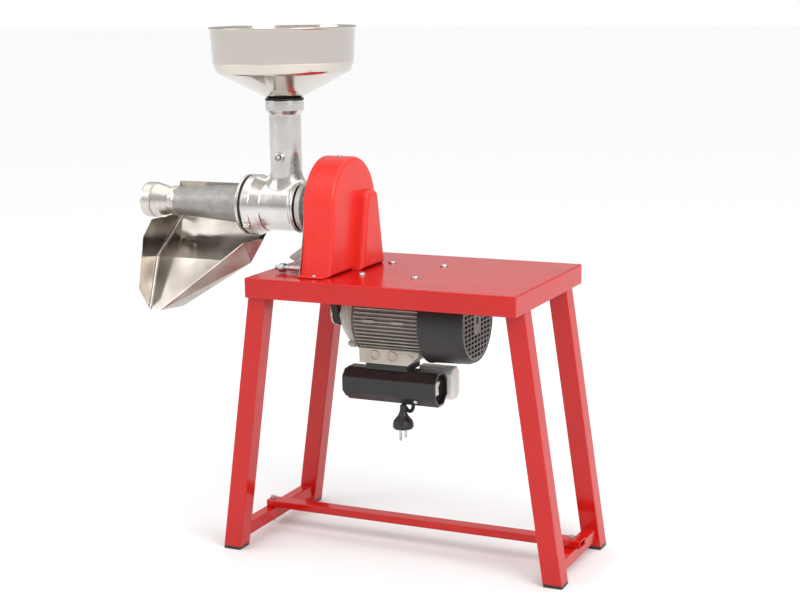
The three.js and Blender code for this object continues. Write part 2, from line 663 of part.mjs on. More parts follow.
// ---------------------------------------------------------------- press body and hopper

/** Cast body: mouth band, barrel and rear flange along X, joined to the neck by a saddle. */
function addPressBody() {
  const { mouth, rear, barrel, bore } = press;
  const outside = turnedX([
    [0, mouth], [45, mouth], [48.5, mouth + 3], [48.5, mouth + 15], [45, mouth + 18],
    [45, mouth + 26], [barrel, mouth + 31], [barrel, rear - 7], [barrel + 1.5, rear - 5],
    [barrel + 1.5, rear], [0, rear],
  ], pressAxis, 36);
  const neckTube = turnedZ([
    [0, 560], [31, 560], [31, 577], [27, 590], [neck.outer, 600], [neck.outer, 687],
    [30.4, 691], [30.4, 708], [0, 708],
  ], [neck.x, press.y], 28);
  const screwPlace = [neck.x + 2, 619];
  const screwBoss = rod('y', 7.5, press.y - 30, press.y - 5, screwPlace, 18);
  const inside = turnedX([
    [0, mouth - 1], [bore + 2, mouth - 1], [bore + 2, mouth + 6], [bore, mouth + 7],
    [bore, rear - 10], [0, rear - 10]], pressAxis, 28);
  const shaftHole = rod('x', 12, rear - 11, rear + 1, pressAxis, 28);
  const throat = turnedZ([
    [0, 540], [neck.bore, 540], [neck.bore, 686], [24.3, 690], [24.3, 709], [0, 709],
  ], [neck.x, press.y], 24);
  const screwHole = rod('y', 3.4, press.y - 32, press.y, screwPlace, 12);
  const bracketRoom = box(rear, rear + 10, press.y - 50, press.y + 50, 500, 584);
  add('press_body', 'castAluminium', cut(join(outside, neckTube, screwBoss),
    inside, shaftHole, throat, screwHole, bracketRoom));
  add('neck_screw', 'steel', join(
    rod('y', 3, press.y - 33, press.y - 22.2, screwPlace, 12),
    rod('y', 5, press.y - 35.5, press.y - 30.3, screwPlace, 16)));
  add('rear_seal', 'rubber', ring(38, 12.5, rear + GAP, rear + 6 - GAP, pressAxis));
}

/** Bowl with a rolled rim, near-vertical wall and conical floor, on a spigot in the neck. */
function addHopper() {
  const at = [neck.x, press.y];
  const wall = 1.2;
  const spigot = 23.9;
  const profile = [
    [spigot - wall, 691], [spigot, 691], [spigot, 711], [30, 713.2], [104, 752], [109, 761],
    [111, 771], [113, 819], [115.6, 820.2], [115.6, 822], [111.8, 822], [109.8, 771.4],
    [107.8, 761.8], [103.3, 753.1], [29.5, 714.5], [spigot - wall, 711.5], [spigot - wall, 691],
  ];
  add('hopper', 'stainless', turnedZ(profile, at, 36));
  add('hopper_seal', 'rubber', turnedZ([
    [24.3, 708.2], [30.6, 708.2], [30.6, 710.4], [24.3, 710.2], [24.3, 708.2]], at, 28));
}

// ---------------------------------------------------------------- auger, strainer and chute

const cone = { x0: -424.3, x1: press.mouth - 10.2, r0: 22, r1: 31.5, wall: 1.2 };

/** Auger: a core that thickens towards the outlet, with one helical flight wound round it. */
function addAuger() {
  const [start, end, turns, steps] = [press.rear - 22, cone.x0 + 3, 5, 50];
  const widest = 29.5;
  const flightRadius = (x) => widest + ((x - cone.x1) * (cone.r1 - cone.r0)) / (cone.x1 - cone.x0);
  const places = [];
  for (let i = 0; i <= steps; i += 1) {
    const t = i / steps;
    const x = start + t * (end - start);
    const angle = t * turns * TURN;
    const outer = Math.min(widest, flightRadius(x));
    for (const [radius, offset] of [[6, -2.4], [outer, -1.2], [outer, 1.2], [6, 2.4]]) {
      places.push(x + offset, press.y + radius * Math.cos(angle), press.z + radius * Math.sin(angle));
    }
  }
  const faces = [];
  for (let i = 0; i < steps; i += 1) {
    for (let k = 0; k < 4; k += 1) {
      const [a, b] = [i * 4 + k, i * 4 + ((k + 1) % 4)];
      faces.push(a, b, a + 4, b, b + 4, a + 4);
    }
  }
  const last = steps * 4;
  faces.push(0, 2, 1, 0, 3, 2, last, last + 1, last + 2, last, last + 2, last + 3);
  const flight = new THREE.BufferGeometry();
  flight.setAttribute('position', new THREE.Float32BufferAttribute(places, 3));
  flight.setIndex(faces);
  const core = turnedX([
    [0, end - 15], [7, end - 15], [9, end - 6], [10.5, end + 20], [9.5, start - 16],
    [16, start - 8], [16, start + 6], [0, start + 6],
  ], pressAxis, 20);
  const socket = rod('x', 10 + GAP, start - 10, start + 7, pressAxis, 20);
  add('auger', 'castAluminium', cut(join(core, flight), socket));
}

/** Strainer: the cone's wall, its seating flange and the tube that carries the outlet ring. */
function addStrainer() {
  const { x0, x1, r0, r1, wall } = cone;
  const { mouth, bore } = press;
  const [seat, gasketFace] = [mouth - 10, mouth - 5.8];
  add('strainer_cone', 'stainless', turnedX([
    [r0, x0], [r0 - wall, x0], [r1 - wall, x1], [r1, x1], [r0, x0]], pressAxis, 36));
  add('strainer_flange', 'castAluminium', turnedX([
    [r1 + GAP, seat], [48, seat], [48, gasketFace], [bore + 0.8, gasketFace],
    [bore + 0.8, mouth + 4], [r1 + GAP, mouth + 4], [r1 + GAP, seat]], pressAxis, 32));
  add('mouth_gasket', 'rubber', ring(48, bore + 1.6, gasketFace + GAP, mouth - GAP, pressAxis, 28));
  const [tubeEnd, shoulder, ringEnd] = [x0 - GAP, x0 - 31.4, x0 - 50.7];
  add('outlet_tube', 'castAluminium', turnedX([
    [17, tubeEnd], [20.5, tubeEnd], [21, tubeEnd - 5], [27.6, shoulder + 4], [28.2, shoulder],
    [22, shoulder], [22, ringEnd + 1], [17, ringEnd + 1], [17, tubeEnd]], pressAxis, 32));
  add('outlet_ring', 'castAluminium', ring(29, 22.4, ringEnd, shoulder - GAP, pressAxis, 32));
}

const fold = {
  rearTop: [33, 566], rear: [33, 509], middle: [-47, 450], spout: [-84, 368], spoutLip: [-79.5, 378],
  left: -445, right: -268, spoutRight: -378, rearRight: -313, thickness: 1.4,
};

/** Chute: bent sheet with a rear wall, two sloping panels and a wall at each side. */
function addChute() {
  const { rearTop, rear, middle, spout, spoutLip, left, right, spoutRight, rearRight, thickness } = fold;
  const at = (x, [y, z]) => [x, y, z];
  const rearWall = sheet([at(left, rearTop), at(rearRight, rearTop), at(rearRight, rear),
    at(left, rear)], thickness);
  const upper = sheet([at(left, rear), at(right, rear), at(right, middle), at(left, middle)],
    thickness);
  const lower = sheet([at(left, middle), at(right, middle), at(spoutRight, spoutLip),
    at(left, spout)], thickness);
  const leftOutline = [rearTop, [33, 509], middle, spout, [-103, 405], [-86, 488], [-59, 513],
    [26, 513], [26, 552]];
  const notch = rod('x', 28.5, left - 5, left + 5, pressAxis, 32);
  const leftWall = cut(prismX(leftOutline, left - thickness / 2, left + thickness / 2), notch);
  const freeTop = [-262, -78, 486];
  const freeBottom = [-393, -125, 378];
  const corner = [right, middle[0], middle[1]];
  const lowCorner = at(spoutRight, spoutLip);
  const rightLower = sheet([corner, lowCorner, freeBottom], thickness);
  const rightUpper = sheet([corner, freeBottom, freeTop], thickness);
  const rightTop = sheet([corner, freeTop, [right, -4, 481.7]], thickness);
  const joint = new THREE.SphereGeometry(1.1, 8, 6).translate(...corner);
  add('juice_chute', 'stainless',
    join(rearWall, upper, lower, leftWall, rightLower, rightUpper, rightTop, joint));
}

// ---------------------------------------------------------------- assembly

addBench();
addMotorShell();
addMotorBolts();
addMotorShields();
addFanCover();
addMotorInside();
addTerminalBase();
addStarter();
addCableAndPlug();
addPulleys();
addBelt();
addBracket();
addGuardStud();
addGuard();
addPressBody();
addHopper();
addAuger();
addStrainer();
addChute();

export default machine;
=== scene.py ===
"""Looks of an electric fruit press: a belt-driven strainer press on a folded-steel bench.

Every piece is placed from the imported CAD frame. Lengths are millimetres until a mesh is made.
"""

import math

import bmesh
import bpy
from mathutils import Matrix, Vector


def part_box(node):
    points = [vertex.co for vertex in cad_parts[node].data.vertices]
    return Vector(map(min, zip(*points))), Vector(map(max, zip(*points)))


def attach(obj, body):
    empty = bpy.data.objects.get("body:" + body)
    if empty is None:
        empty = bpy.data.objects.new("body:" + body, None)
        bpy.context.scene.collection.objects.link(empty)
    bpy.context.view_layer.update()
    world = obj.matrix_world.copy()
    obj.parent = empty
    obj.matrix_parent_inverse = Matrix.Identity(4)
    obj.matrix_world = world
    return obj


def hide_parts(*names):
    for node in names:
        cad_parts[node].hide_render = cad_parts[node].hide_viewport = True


MM = 0.001
TURN = math.tau
AXES = {"x": (1, 2, 0), "y": (0, 2, 1), "z": (0, 1, 2)}  # the two cross axes, then the axis itself

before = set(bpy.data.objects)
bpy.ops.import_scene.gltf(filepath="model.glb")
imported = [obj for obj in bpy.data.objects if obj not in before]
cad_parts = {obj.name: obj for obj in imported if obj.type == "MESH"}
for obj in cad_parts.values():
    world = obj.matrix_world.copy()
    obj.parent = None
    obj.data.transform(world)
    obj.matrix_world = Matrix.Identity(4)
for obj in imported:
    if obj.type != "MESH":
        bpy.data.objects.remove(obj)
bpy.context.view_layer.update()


# ---------------------------------------------------------------- places, read from the frame


def extent(node):
    """Lowest and highest corners of a CAD node, in millimetres."""
    low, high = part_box(node)
    return low / MM, high / MM


def middle(node):
    low, high = extent(node)
    return (low + high) / 2


PRESS = middle("large_pulley")  # the auger's axis, along X
MOTOR = middle("motor_shaft")  # the motor's axis, along X
NECK = middle("hopper")  # the hopper's axis, along Z
BENCH = middle("bench_top")
BENCH_TOP = extent("bench_top")[1].z


# ---------------------------------------------------------------- mesh helpers


def new_object(name, points, faces):
    """Mesh object from points in millimetres, with merged points and outward faces."""
    mesh = bpy.data.meshes.new(name)
    mesh.from_pydata([Vector(p) * MM for p in points], [], faces)
    work = bmesh.new()
    work.from_mesh(mesh)
    bmesh.ops.remove_doubles(work, verts=work.verts, dist=1e-6)
    loose = [edge for edge in work.edges if not edge.link_faces]
    bmesh.ops.delete(work, geom=loose, context="EDGES")
    bmesh.ops.recalc_face_normals(work, faces=work.faces)
    work.to_mesh(mesh)
    work.free()
    obj = bpy.data.objects.new(name, mesh)
    bpy.context.scene.collection.objects.link(obj)
    return obj


def place(axis, a, b, c):
    """Point with cross coordinates a and b, and c along the axis."""
    point = [0.0, 0.0, 0.0]
    for index, value in zip(AXES[axis], (a, b, c)):
        point[index] = value
    return point


def loft(name, rings, cyclic=False):
    """Skin over rings of equally many points; its ends are capped unless the rings close on themselves."""
    count = len(rings[0])
    total = count * len(rings)
    faces = []
    for i in range(len(rings) if cyclic else len(rings) - 1):
        a = i * count
        b = (i + 1) % len(rings) * count
        for k in range(count):
            nxt = (k + 1) % count
            faces.append((a + k, a + nxt, b + nxt, b + k))
    if not cyclic:
        faces.append(tuple(range(count)))
        faces.append(tuple(range(total - count, total)))
    return new_object(name, [p for ring in rings for p in ring], faces)


def rounded(corners, radius, steps=4):
    """Closed outline with an arc at each corner; a corner may carry its own radius as a third value."""
    outline = []
    count = len(corners)
    for i, corner in enumerate(corners):
        here = Vector(corner[:2])
        size = corner[2] if len(corner) > 2 else radius
        back = Vector(corners[i - 1][:2]) - here
        ahead = Vector(corners[(i + 1) % count][:2]) - here
        half = back.angle(ahead) / 2
        if size <= 0 or half > 1.55:
            outline.append(here)
            continue
        reach = min(size / math.tan(half), back.length * 0.49, ahead.length * 0.49)
        towards = (back.normalized() + ahead.normalized()).normalized()
        centre = here + towards * (reach / math.cos(half))
        start = here + back.normalized() * reach - centre
        turn = start.angle_signed(here + ahead.normalized() * reach - centre)
        for k in range(steps + 1):
            outline.append(centre + Matrix.Rotation(-turn * k / steps, 2) @ start)
    return outline


def circle(at, radius, steps=48, phase=0.0):
    return [
        Vector((
            at[0] + radius * math.cos(phase + TURN * k / steps),
            at[1] + radius * math.sin(phase + TURN * k / steps),
        ))
        for k in range(steps)
    ]


def rectangle(low, high, corner=0.0, steps=4):
    corners = [(low[0], low[1]), (high[0], low[1]), (high[0], high[1]), (low[0], high[1])]
    return rounded(corners, corner, steps)


def inset(outline, distance):
    """Anticlockwise outline moved inwards by a distance."""
    moved = []
    count = len(outline)
    for i, here in enumerate(outline):
        before = (here - outline[i - 1]).normalized()
        after = (outline[(i + 1) % count] - here).normalized()
        normals = Vector((-before.y, before.x)), Vector((-after.y, after.x))
        share = 1 + max(normals[0].dot(normals[1]), -0.5)
        moved.append(here + (normals[0] + normals[1]) * (distance / share))
    return moved


def anticlockwise(outline):
    area = sum(a.cross(b) for a, b in zip(outline, outline[1:] + outline[:1]))
    return outline if area > 0 else outline[::-1]


def prism(name, outline, axis, start, end, edges=(0.5, 0.5), steps=3):
    """Solid with an outline across an axis; edges are the roundings at its start and its end."""
    outline = anticlockwise([Vector(p[:2]) for p in outline])
    levels = []
    for side, from_end, sign in ((0, start, 1), (1, end, -1)):
        edge = edges[side]
        turns = [k / steps * TURN / 4 for k in range(steps + 1)] if edge else [TURN / 4]
        levels.append([
            (edge * (1 - math.sin(t)), from_end + sign * edge * (1 - math.cos(t))) for t in turns
        ])
    rings = []
    for shrink, along in levels[0] + levels[1][::-1]:
        ring = inset(outline, shrink) if shrink > 1e-6 else outline
        rings.append([place(axis, p.x, p.y, along) for p in ring])
    return loft(name, rings)


def block(name, low, high, corner=0.8, edge=0.6, axis="z"):
    """Box with rounded corners about an axis and softened ends."""
    a, b, c = AXES[axis]
    outline = rectangle((low[a], low[b]), (high[a], high[b]), corner)
    return prism(name, outline, axis, low[c], high[c], (edge, edge))


def rod(name, axis, radius, start, end, at, edge=0.4, steps=40):
    return prism(name, circle(at, radius, steps), axis, start, end, (edge, edge))


def hexagon(name, axis, across_flats, start, end, at, phase=0.0):
    """Bolt head or nut with softened corners."""
    radius = across_flats / math.sqrt(3)
    outline = rounded(circle(at, radius, 6, phase), 0.6, 2)
    return prism(name, outline, axis, start, end, (0.7, 0.4))


def turned(name, profile, axis, at, origin=0.0, steps=96):
    """Solid of revolution; the closed profile holds (radius, distance from origin along the axis)."""
    rings = []
    for k in range(steps):
        angle = TURN * k / steps
        side, up = math.cos(angle), math.sin(angle)
        rings.append([
            place(axis, at[0] + r * side, at[1] + r * up, origin + along) for r, along in profile
        ])
    return loft(name, rings, cyclic=True)


def sweep(name, path, radius, steps=14):
    """Round bar along a smooth curve through the path's points."""
    curve = bpy.data.curves.new(name, "CURVE")
    curve.dimensions = "3D"
    curve.bevel_depth = radius * MM
    curve.bevel_resolution = steps // 4
    curve.use_fill_caps = True
    spline = curve.splines.new("NURBS")
    spline.points.add(len(path) - 1)
    for point, at in zip(spline.points, path):
        point.co = (*(Vector(at) * MM), 1.0)
    spline.order_u = 4
    spline.use_endpoint_u = True
    spline.resolution_u = 8
    obj = bpy.data.objects.new(name, curve)
    bpy.context.scene.collection.objects.link(obj)
    return mesh_from_curve(obj)


def weld(obj):
    """Merges the points that a curve leaves apart at its caps."""
    work = bmesh.new()
    work.from_mesh(obj.data)
    bmesh.ops.remove_doubles(work, verts=work.verts, dist=1e-6)
    work.to_mesh(obj.data)
    work.free()


def rod_between(name, start, end, radius, steps=12):
    """Round bar between two points, with softened ends."""
    rings = []
    direction = (end - start).normalized()
    across = direction.orthogonal().normalized()
    for at, share in ((start, 0.6), (start + direction * radius * 0.5, 1.0),
                      (end - direction * radius * 0.5, 1.0), (end, 0.6)):
        rings.append([
            at + Matrix.Rotation(TURN * k / steps, 3, direction) @ across * (radius * share)
            for k in range(steps)
        ])
    return loft(name, rings)


def evaluated_mesh(obj):
    graph = bpy.context.evaluated_depsgraph_get()
    return bpy.data.meshes.new_from_object(obj.evaluated_get(graph))


def bake(obj):
    """Applies an object's modifiers to its mesh."""
    mesh = evaluated_mesh(obj)
    obj.modifiers.clear()
    obj.data = mesh


def mesh_from_curve(curve):
    mesh = evaluated_mesh(curve)
    name = curve.name
    bpy.data.objects.remove(curve)
    obj = bpy.data.objects.new(name, mesh)
    bpy.context.scene.collection.objects.link(obj)
    return obj


def combine(operation, obj, *others):
    """Unites, subtracts or intersects the other solids with obj, and deletes them."""
    for other in others:
        modifier = obj.modifiers.new("combine", "BOOLEAN")
        modifier.operation = operation
        modifier.solver = "MANIFOLD"
        modifier.object = other
    bake(obj)
    for other in others:
        bpy.data.objects.remove(other)
    return obj


def unite(obj, *others):
    return combine("UNION", obj, *others)


def cut(obj, *others):
    return combine("DIFFERENCE", obj, *others)


def gather(name, objects):
    """One mesh object that holds separate solids."""
    work = bmesh.new()
    for obj in objects:
        work.from_mesh(obj.data)
        bpy.data.objects.remove(obj)
    mesh = bpy.data.meshes.new(name)
    work.to_mesh(mesh)
    work.free()
    obj = bpy.data.objects.new(name, mesh)
    bpy.context.scene.collection.objects.link(obj)
    return obj


def piece(obj, body, material, slot, *nodes, sharp=32):
    """Finishes a shape: shading, material, the body it rides on and the CAD nodes it stands for."""
    mesh = obj.data
    mesh.shade_smooth()
    mesh.set_sharp_from_angle(angle=math.radians(sharp))
    weighted = obj.modifiers.new("even_shading", "WEIGHTED_NORMAL")
    weighted.keep_sharp = True
    mesh.materials.clear()
    mesh.materials.append(material)
    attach(obj, body)
    if nodes:
        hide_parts(*nodes)
    return obj


# ---------------------------------------------------------------- material helpers


def add_node(material, kind, settings=None, **inputs):
    """New shader node; an input is a value or another node's output."""
    node = material.node_tree.nodes.new(kind)
    for key, value in (settings or {}).items():
        setattr(node, key, value)
    for key, value in inputs.items():
        socket = node.inputs[key.replace("_", " ")]
        if isinstance(value, bpy.types.NodeSocket):
            material.node_tree.links.new(value, socket)
        else:
            socket.default_value = value
    return node


def base_material(name, colour, roughness, metallic=0.0, **inputs):
    material = bpy.data.materials.new(name)
    material.use_nodes = True
    shader = material.node_tree.nodes["Principled BSDF"]
    shader.inputs["Base Color"].default_value = (*colour, 1.0)
    shader.inputs["Roughness"].default_value = roughness
    shader.inputs["Metallic"].default_value = metallic
    for key, value in inputs.items():
        shader.inputs[key.replace("_", " ")].default_value = value
    return material, shader


def position(material, stretch=(1.0, 1.0, 1.0)):
    """Object coordinates, stretched per axis."""
    coordinates = add_node(material, "ShaderNodeTexCoord")
    mapping = add_node(material, "ShaderNodeMapping", Vector=coordinates.outputs["Object"])
    mapping.inputs["Scale"].default_value = stretch
    return mapping.outputs["Vector"]


def noise(material, scale, stretch=(1.0, 1.0, 1.0), detail=4.0):
    """Noise with scale counted per metre."""
    texture = add_node(
        material, "ShaderNodeTexNoise", Vector=position(material, stretch), Scale=scale, Detail=detail
    )
    return texture.outputs["Fac"]


def spread(material, shader, socket, fac, low, high):
    """Drives a shader value between low and high by a 0 to 1 factor."""
    ranged = add_node(material, "ShaderNodeMapRange", Value=fac)
    ranged.inputs["From Min"].default_value = 0.3
    ranged.inputs["From Max"].default_value = 0.7
    ranged.inputs["To Min"].default_value = low
    ranged.inputs["To Max"].default_value = high
    material.node_tree.links.new(ranged.outputs["Result"], shader.inputs[socket])


def tint(material, shader, fac, dark, light):
    """Blends the base colour between two colours by a factor."""
    ramp = add_node(material, "ShaderNodeValToRGB", Fac=fac)
    ramp.color_ramp.elements[0].position = 0.3
    ramp.color_ramp.elements[1].position = 0.7
    ramp.color_ramp.elements[0].color = (*dark, 1.0)
    ramp.color_ramp.elements[1].color = (*light, 1.0)
    material.node_tree.links.new(ramp.outputs["Color"], shader.inputs["Base Color"])


def relief(material, shader, *layers):
    """Stacks bump layers; each is a height output and its depth in millimetres."""
    normal = None
    for height, depth in layers:
        bump = add_node(material, "ShaderNodeBump", Height=height, Distance=depth * MM)
        bump.inputs["Strength"].default_value = 1.0
        if normal is not None:
            material.node_tree.links.new(normal, bump.inputs["Normal"])
        normal = bump.outputs["Normal"]
    material.node_tree.links.new(normal, shader.inputs["Normal"])


def shade(colour, factor):
    return tuple(min(1.0, c * factor) for c in colour)


# ---------------------------------------------------------------- materials


def enamel():
    """Glossy red enamel with orange peel, faint smears and soft waves of the sheet under it."""
    colour = (0.50, 0.007, 0.005)
    material, shader = base_material("red_enamel", colour, 0.16, Specular_IOR_Level=0.45)
    tint(material, shader, noise(material, 9.0), shade(colour, 0.94), shade(colour, 1.05))
    smear = noise(material, 14.0, (1.0, 1.0, 0.35))
    spread(material, shader, "Roughness", smear, 0.12, 0.22)
    relief(
        material, shader,
        (noise(material, 160.0, detail=1.0), 0.015),
        (noise(material, 12.0, detail=1.0), 0.20),
    )
    return material


def guard_plastic():
    """Moulded red plastic, a little brighter and softer than the enamel."""
    colour = (0.72, 0.030, 0.022)
    material, shader = base_material("red_plastic", colour, 0.3, Specular_IOR_Level=0.4)
    tint(material, shader, noise(material, 11.0), shade(colour, 0.96), shade(colour, 1.04))
    spread(material, shader, "Roughness", noise(material, 30.0), 0.26, 0.36)
    relief(
        material, shader,
        (noise(material, 900.0, detail=2.0), 0.006),
        (noise(material, 14.0, detail=1.0), 0.20),
    )
    return material


def polished_casting():
    """Polished aluminium casting: soft dents, polishing marks and a few dull patches."""
    colour = (0.66, 0.64, 0.61)
    material, shader = base_material("polished_casting", colour, 0.2, 1.0)
    tint(material, shader, noise(material, 30.0), shade(colour, 0.88), shade(colour, 1.08))
    spread(material, shader, "Roughness", noise(material, 60.0), 0.14, 0.30)
    relief(
        material, shader,
        (noise(material, 45.0, detail=2.0), 0.35),
        (noise(material, 500.0, (1.0, 6.0, 1.0), detail=2.0), 0.02),
    )
    return material


def rough_casting():
    """Plain cast aluminium with its sand texture."""
    colour = (0.55, 0.54, 0.52)
    material, shader = base_material("rough_casting", colour, 0.45, 0.9)
    tint(material, shader, noise(material, 60.0), shade(colour, 0.75), shade(colour, 1.1))
    spread(material, shader, "Roughness", noise(material, 120.0), 0.38, 0.6)
    relief(material, shader, (noise(material, 450.0), 0.14), (noise(material, 60.0), 0.25))
    return material


def spun_steel():
    """Polished stainless bowl with fine lines left by spinning, round its own axis."""
    colour = (0.62, 0.58, 0.53)
    material, shader = base_material("spun_steel", colour, 0.12, 1.0, Anisotropic=0.25)
    tangent = add_node(material, "ShaderNodeTangent", {"direction_type": "RADIAL", "axis": "Z"})
    material.node_tree.links.new(tangent.outputs["Tangent"], shader.inputs["Tangent"])
    lines = noise(material, 14.0, (1.0, 1.0, 180.0), detail=3.0)
    tint(material, shader, lines, shade(colour, 0.93), shade(colour, 1.06))
    spread(material, shader, "Roughness", noise(material, 25.0), 0.09, 0.17)
    relief(material, shader, (lines, 0.006), (noise(material, 10.0, detail=1.0), 0.5))
    return material


def folded_steel():
    """Mirror-like stainless sheet with dull patches, a long grain and the waves that folding leaves."""
    material, shader = base_material("folded_steel", (0.55, 0.51, 0.46), 0.14, 1.0)
    grain = noise(material, 40.0, (0.3, 14.0, 14.0), detail=3.0)
    tint(material, shader, noise(material, 13.0, detail=2.0), (0.38, 0.34, 0.30), (0.66, 0.62, 0.57))
    spread(material, shader, "Roughness", noise(material, 18.0), 0.08, 0.26)
    relief(material, shader, (grain, 0.006), (noise(material, 8.0, detail=2.0), 2.6))
    return material


def turned_steel():
    """Stainless turned on a lathe: fine grooves round the X axis."""
    colour = (0.62, 0.58, 0.53)
    material, shader = base_material("turned_steel", colour, 0.24, 1.0, Anisotropic=0.5)
    tangent = add_node(material, "ShaderNodeTangent", {"direction_type": "RADIAL", "axis": "X"})
    material.node_tree.links.new(tangent.outputs["Tangent"], shader.inputs["Tangent"])
    grooves = noise(material, 30.0, (60.0, 1.0, 1.0), detail=3.0)
    tint(material, shader, grooves, shade(colour, 0.86), shade(colour, 1.08))
    spread(material, shader, "Roughness", grooves, 0.17, 0.32)
    relief(material, shader, (grooves, 0.03))
    return material


def punched_steel():
    """Dull stainless of the perforated cone."""
    colour = (0.50, 0.48, 0.46)
    material, shader = base_material("punched_steel", colour, 0.45, 1.0)
    tint(material, shader, noise(material, 70.0), shade(colour, 0.85), shade(colour, 1.1))
    spread(material, shader, "Roughness", noise(material, 90.0), 0.40, 0.55)
    relief(material, shader, (noise(material, 300.0), 0.03))
    return material


def zinc():
    """Bright zinc-plated steel of nuts, screws and shafts."""
    colour = (0.56, 0.56, 0.55)
    material, shader = base_material("zinc_plate", colour, 0.3, 1.0)
    tint(material, shader, noise(material, 200.0), shade(colour, 0.75), shade(colour, 1.1))
    spread(material, shader, "Roughness", noise(material, 260.0), 0.22, 0.42)
    relief(material, shader, (noise(material, 700.0), 0.02))
    return material


def fold_highlight_steel():
    """Bright steel for the rod on the chute's fold, a painted highlight where the fold's rounding catches the light;
    rippled across its length.
    """
    colour = (0.80, 0.77, 0.73)
    material, shader = base_material("fold_highlight_steel", colour, 0.38, 1.0)
    tint(material, shader, noise(material, 160.0), shade(colour, 0.8), shade(colour, 1.1))
    spread(material, shader, "Roughness", noise(material, 90.0), 0.3, 0.45)
    relief(material, shader, (noise(material, 420.0, detail=1.0), 0.15))
    return material


def motor_enamel(name, colour, rough):
    """Satin paint on a die casting."""
    material, shader = base_material(name, colour, rough, Coat_Weight=0.15, Coat_Roughness=0.3)
    tint(material, shader, noise(material, 45.0), shade(colour, 0.88), shade(colour, 1.08))
    spread(material, shader, "Roughness", noise(material, 70.0), rough - 0.08, rough + 0.08)
    relief(material, shader, (noise(material, 380.0), 0.06), (noise(material, 40.0), 0.15))
    return material


def moulded(name, colour, rough, grain=0.03):
    """Moulded plastic with a fine spark-eroded grain."""
    material, shader = base_material(name, colour, rough)
    tint(material, shader, noise(material, 35.0), shade(colour, 0.85), shade(colour, 1.15))
    spread(material, shader, "Roughness", noise(material, 50.0), rough - 0.06, rough + 0.08)
    relief(material, shader, (noise(material, 900.0, detail=2.0), grain))
    return material


def laminated_iron():
    """Stacked electrical sheet, with its lamination lines across the motor's axis."""
    colour = (0.20, 0.19, 0.18)
    material, shader = base_material("laminated_iron", colour, 0.5, 0.8)
    sheets = noise(material, 8.0, (200.0, 1.0, 1.0), detail=2.0)
    tint(material, shader, sheets, shade(colour, 0.6), shade(colour, 1.3))
    relief(material, shader, (sheets, 0.08))
    return material


RED = enamel()
GUARD = guard_plastic()
CASTING = polished_casting()
SAND_CAST = rough_casting()
SPUN = spun_steel()
SHEET = folded_steel()
LATHE = turned_steel()
PUNCHED = punched_steel()
ZINC = zinc()
MOTOR_PAINT = motor_enamel("motor_paint", (0.38, 0.355, 0.31), 0.42)
BASE_PAINT = motor_enamel("terminal_paint", (0.52, 0.48, 0.41), 0.5)
BLACK = moulded("black_plastic", (0.018, 0.017, 0.016), 0.36)
GLOSS_BLACK = moulded("gloss_black_plastic", (0.016, 0.014, 0.014), 0.34, 0.004)
GREY = moulded("grey_plastic", (0.78, 0.76, 0.75), 0.42)
GRILLE = moulded("grille_plastic", (0.17, 0.165, 0.16), 0.40)
WHITE = moulded("white_plastic", (0.80, 0.79, 0.76), 0.3, 0.01)
# painted highlight: bright steel for the rod that marks the chute's fold
FOLD_HIGHLIGHT_STEEL = fold_highlight_steel()
RUBBER = moulded("black_rubber", (0.012, 0.012, 0.011), 0.62, 0.05)
IRON = laminated_iron()


# ---------------------------------------------------------------- bench


def leaning_tube(name, node, start, end, outset=0.0, corner=1.6):
    """Solid bar that follows a leg's lean between two heights, grown sideways by an outset."""
    low, high = extent(node)
    side = 1 if middle(node).x > BENCH.x else -1
    tube = high.y - low.y
    spread_x = high.x - low.x - tube
    lean = spread_x / (high.z - low.z)
    width = tube * math.sqrt(1 + lean * lean)
    lean = (high.x - low.x - width) / (high.z - low.z)
    outer = high.x if side > 0 else low.x
    rings = []
    for z in (start, end):
        edge = outer - side * lean * (z - low.z)
        ends = sorted((edge + side * outset, edge - side * (width + outset)))
        outline = rectangle((ends[0], low.y - outset), (ends[1], high.y + outset), corner)
        rings.append([place("z", p.x, p.y, z) for p in outline])
    return loft(name, rings)


def build_bench_sheet():
    """Folded sheet with bent edges, the belt's slot and the bolt holes."""
    low, high = extent("bench_top")
    sheet = 2.0
    outer = rectangle(low, high, 2.4)
    inner = rectangle(low + Vector((sheet, sheet, 0)), high - Vector((sheet, sheet, 0)), 0.8)
    top = prism("bench_sheet", outer, "z", low.z, high.z, (0.3, 2.6), 5)
    hollow = prism("hollow", inner, "z", low.z - 5, high.z - sheet, (0, 1.0))
    slot_low = Vector((PRESS.x - 12, BENCH.y - 62, low.z + 20))
    slot_high = Vector((PRESS.x + 14, BENCH.y + 44, high.z + 5))
    slot = block("slot", slot_low, slot_high, 4.0, 0)
    holes = [
        rod("hole", "z", 3.6, high.z - 10, high.z + 5, middle(f"motor_bolt_{corner}")[:2], 0)
        for corner in CORNERS
    ]
    cut(top, hollow, slot, gather("holes", holes))
    piece(top, "stand", RED, "red_paint", "bench_top")


CORNERS = ("front_left", "back_left", "front_right", "back_right")


def build_legs():
    wall = 2.0
    for corner in CORNERS:
        node = f"leg_{corner}"
        low, high = extent(node)
        tube = leaning_tube(f"{node}_tube", node, low.z, high.z)
        bore = leaning_tube("bore", node, low.z - 1, high.z + 1, -wall, 1.2)
        cut(tube, bore)
        piece(tube, "stand", RED, "red_paint", node)
        build_leg_cap(corner, node, low.z)


def build_leg_cap(corner, node, foot):
    """Black plastic insert: a flush head under the tube and a ribbed plug inside it."""
    cap = f"foot_cap_{corner}"
    sole = extent(cap)[0].z
    head = leaning_tube(f"{cap}_insert", node, sole, foot - 0.2, -0.2, 1.6)
    ribs = [
        leaning_tube("rib", node, foot + offset, foot + offset + 1.2, -2.3, 1.0)
        for offset in (2.0, 5.0, 8.0)
    ]
    plug = leaning_tube("plug", node, foot - 1.0, foot + 11, -3.2, 1.0)
    unite(head, plug, gather("ribs", ribs))
    piece(head, "stand", BLACK, "black_plastic", cap)


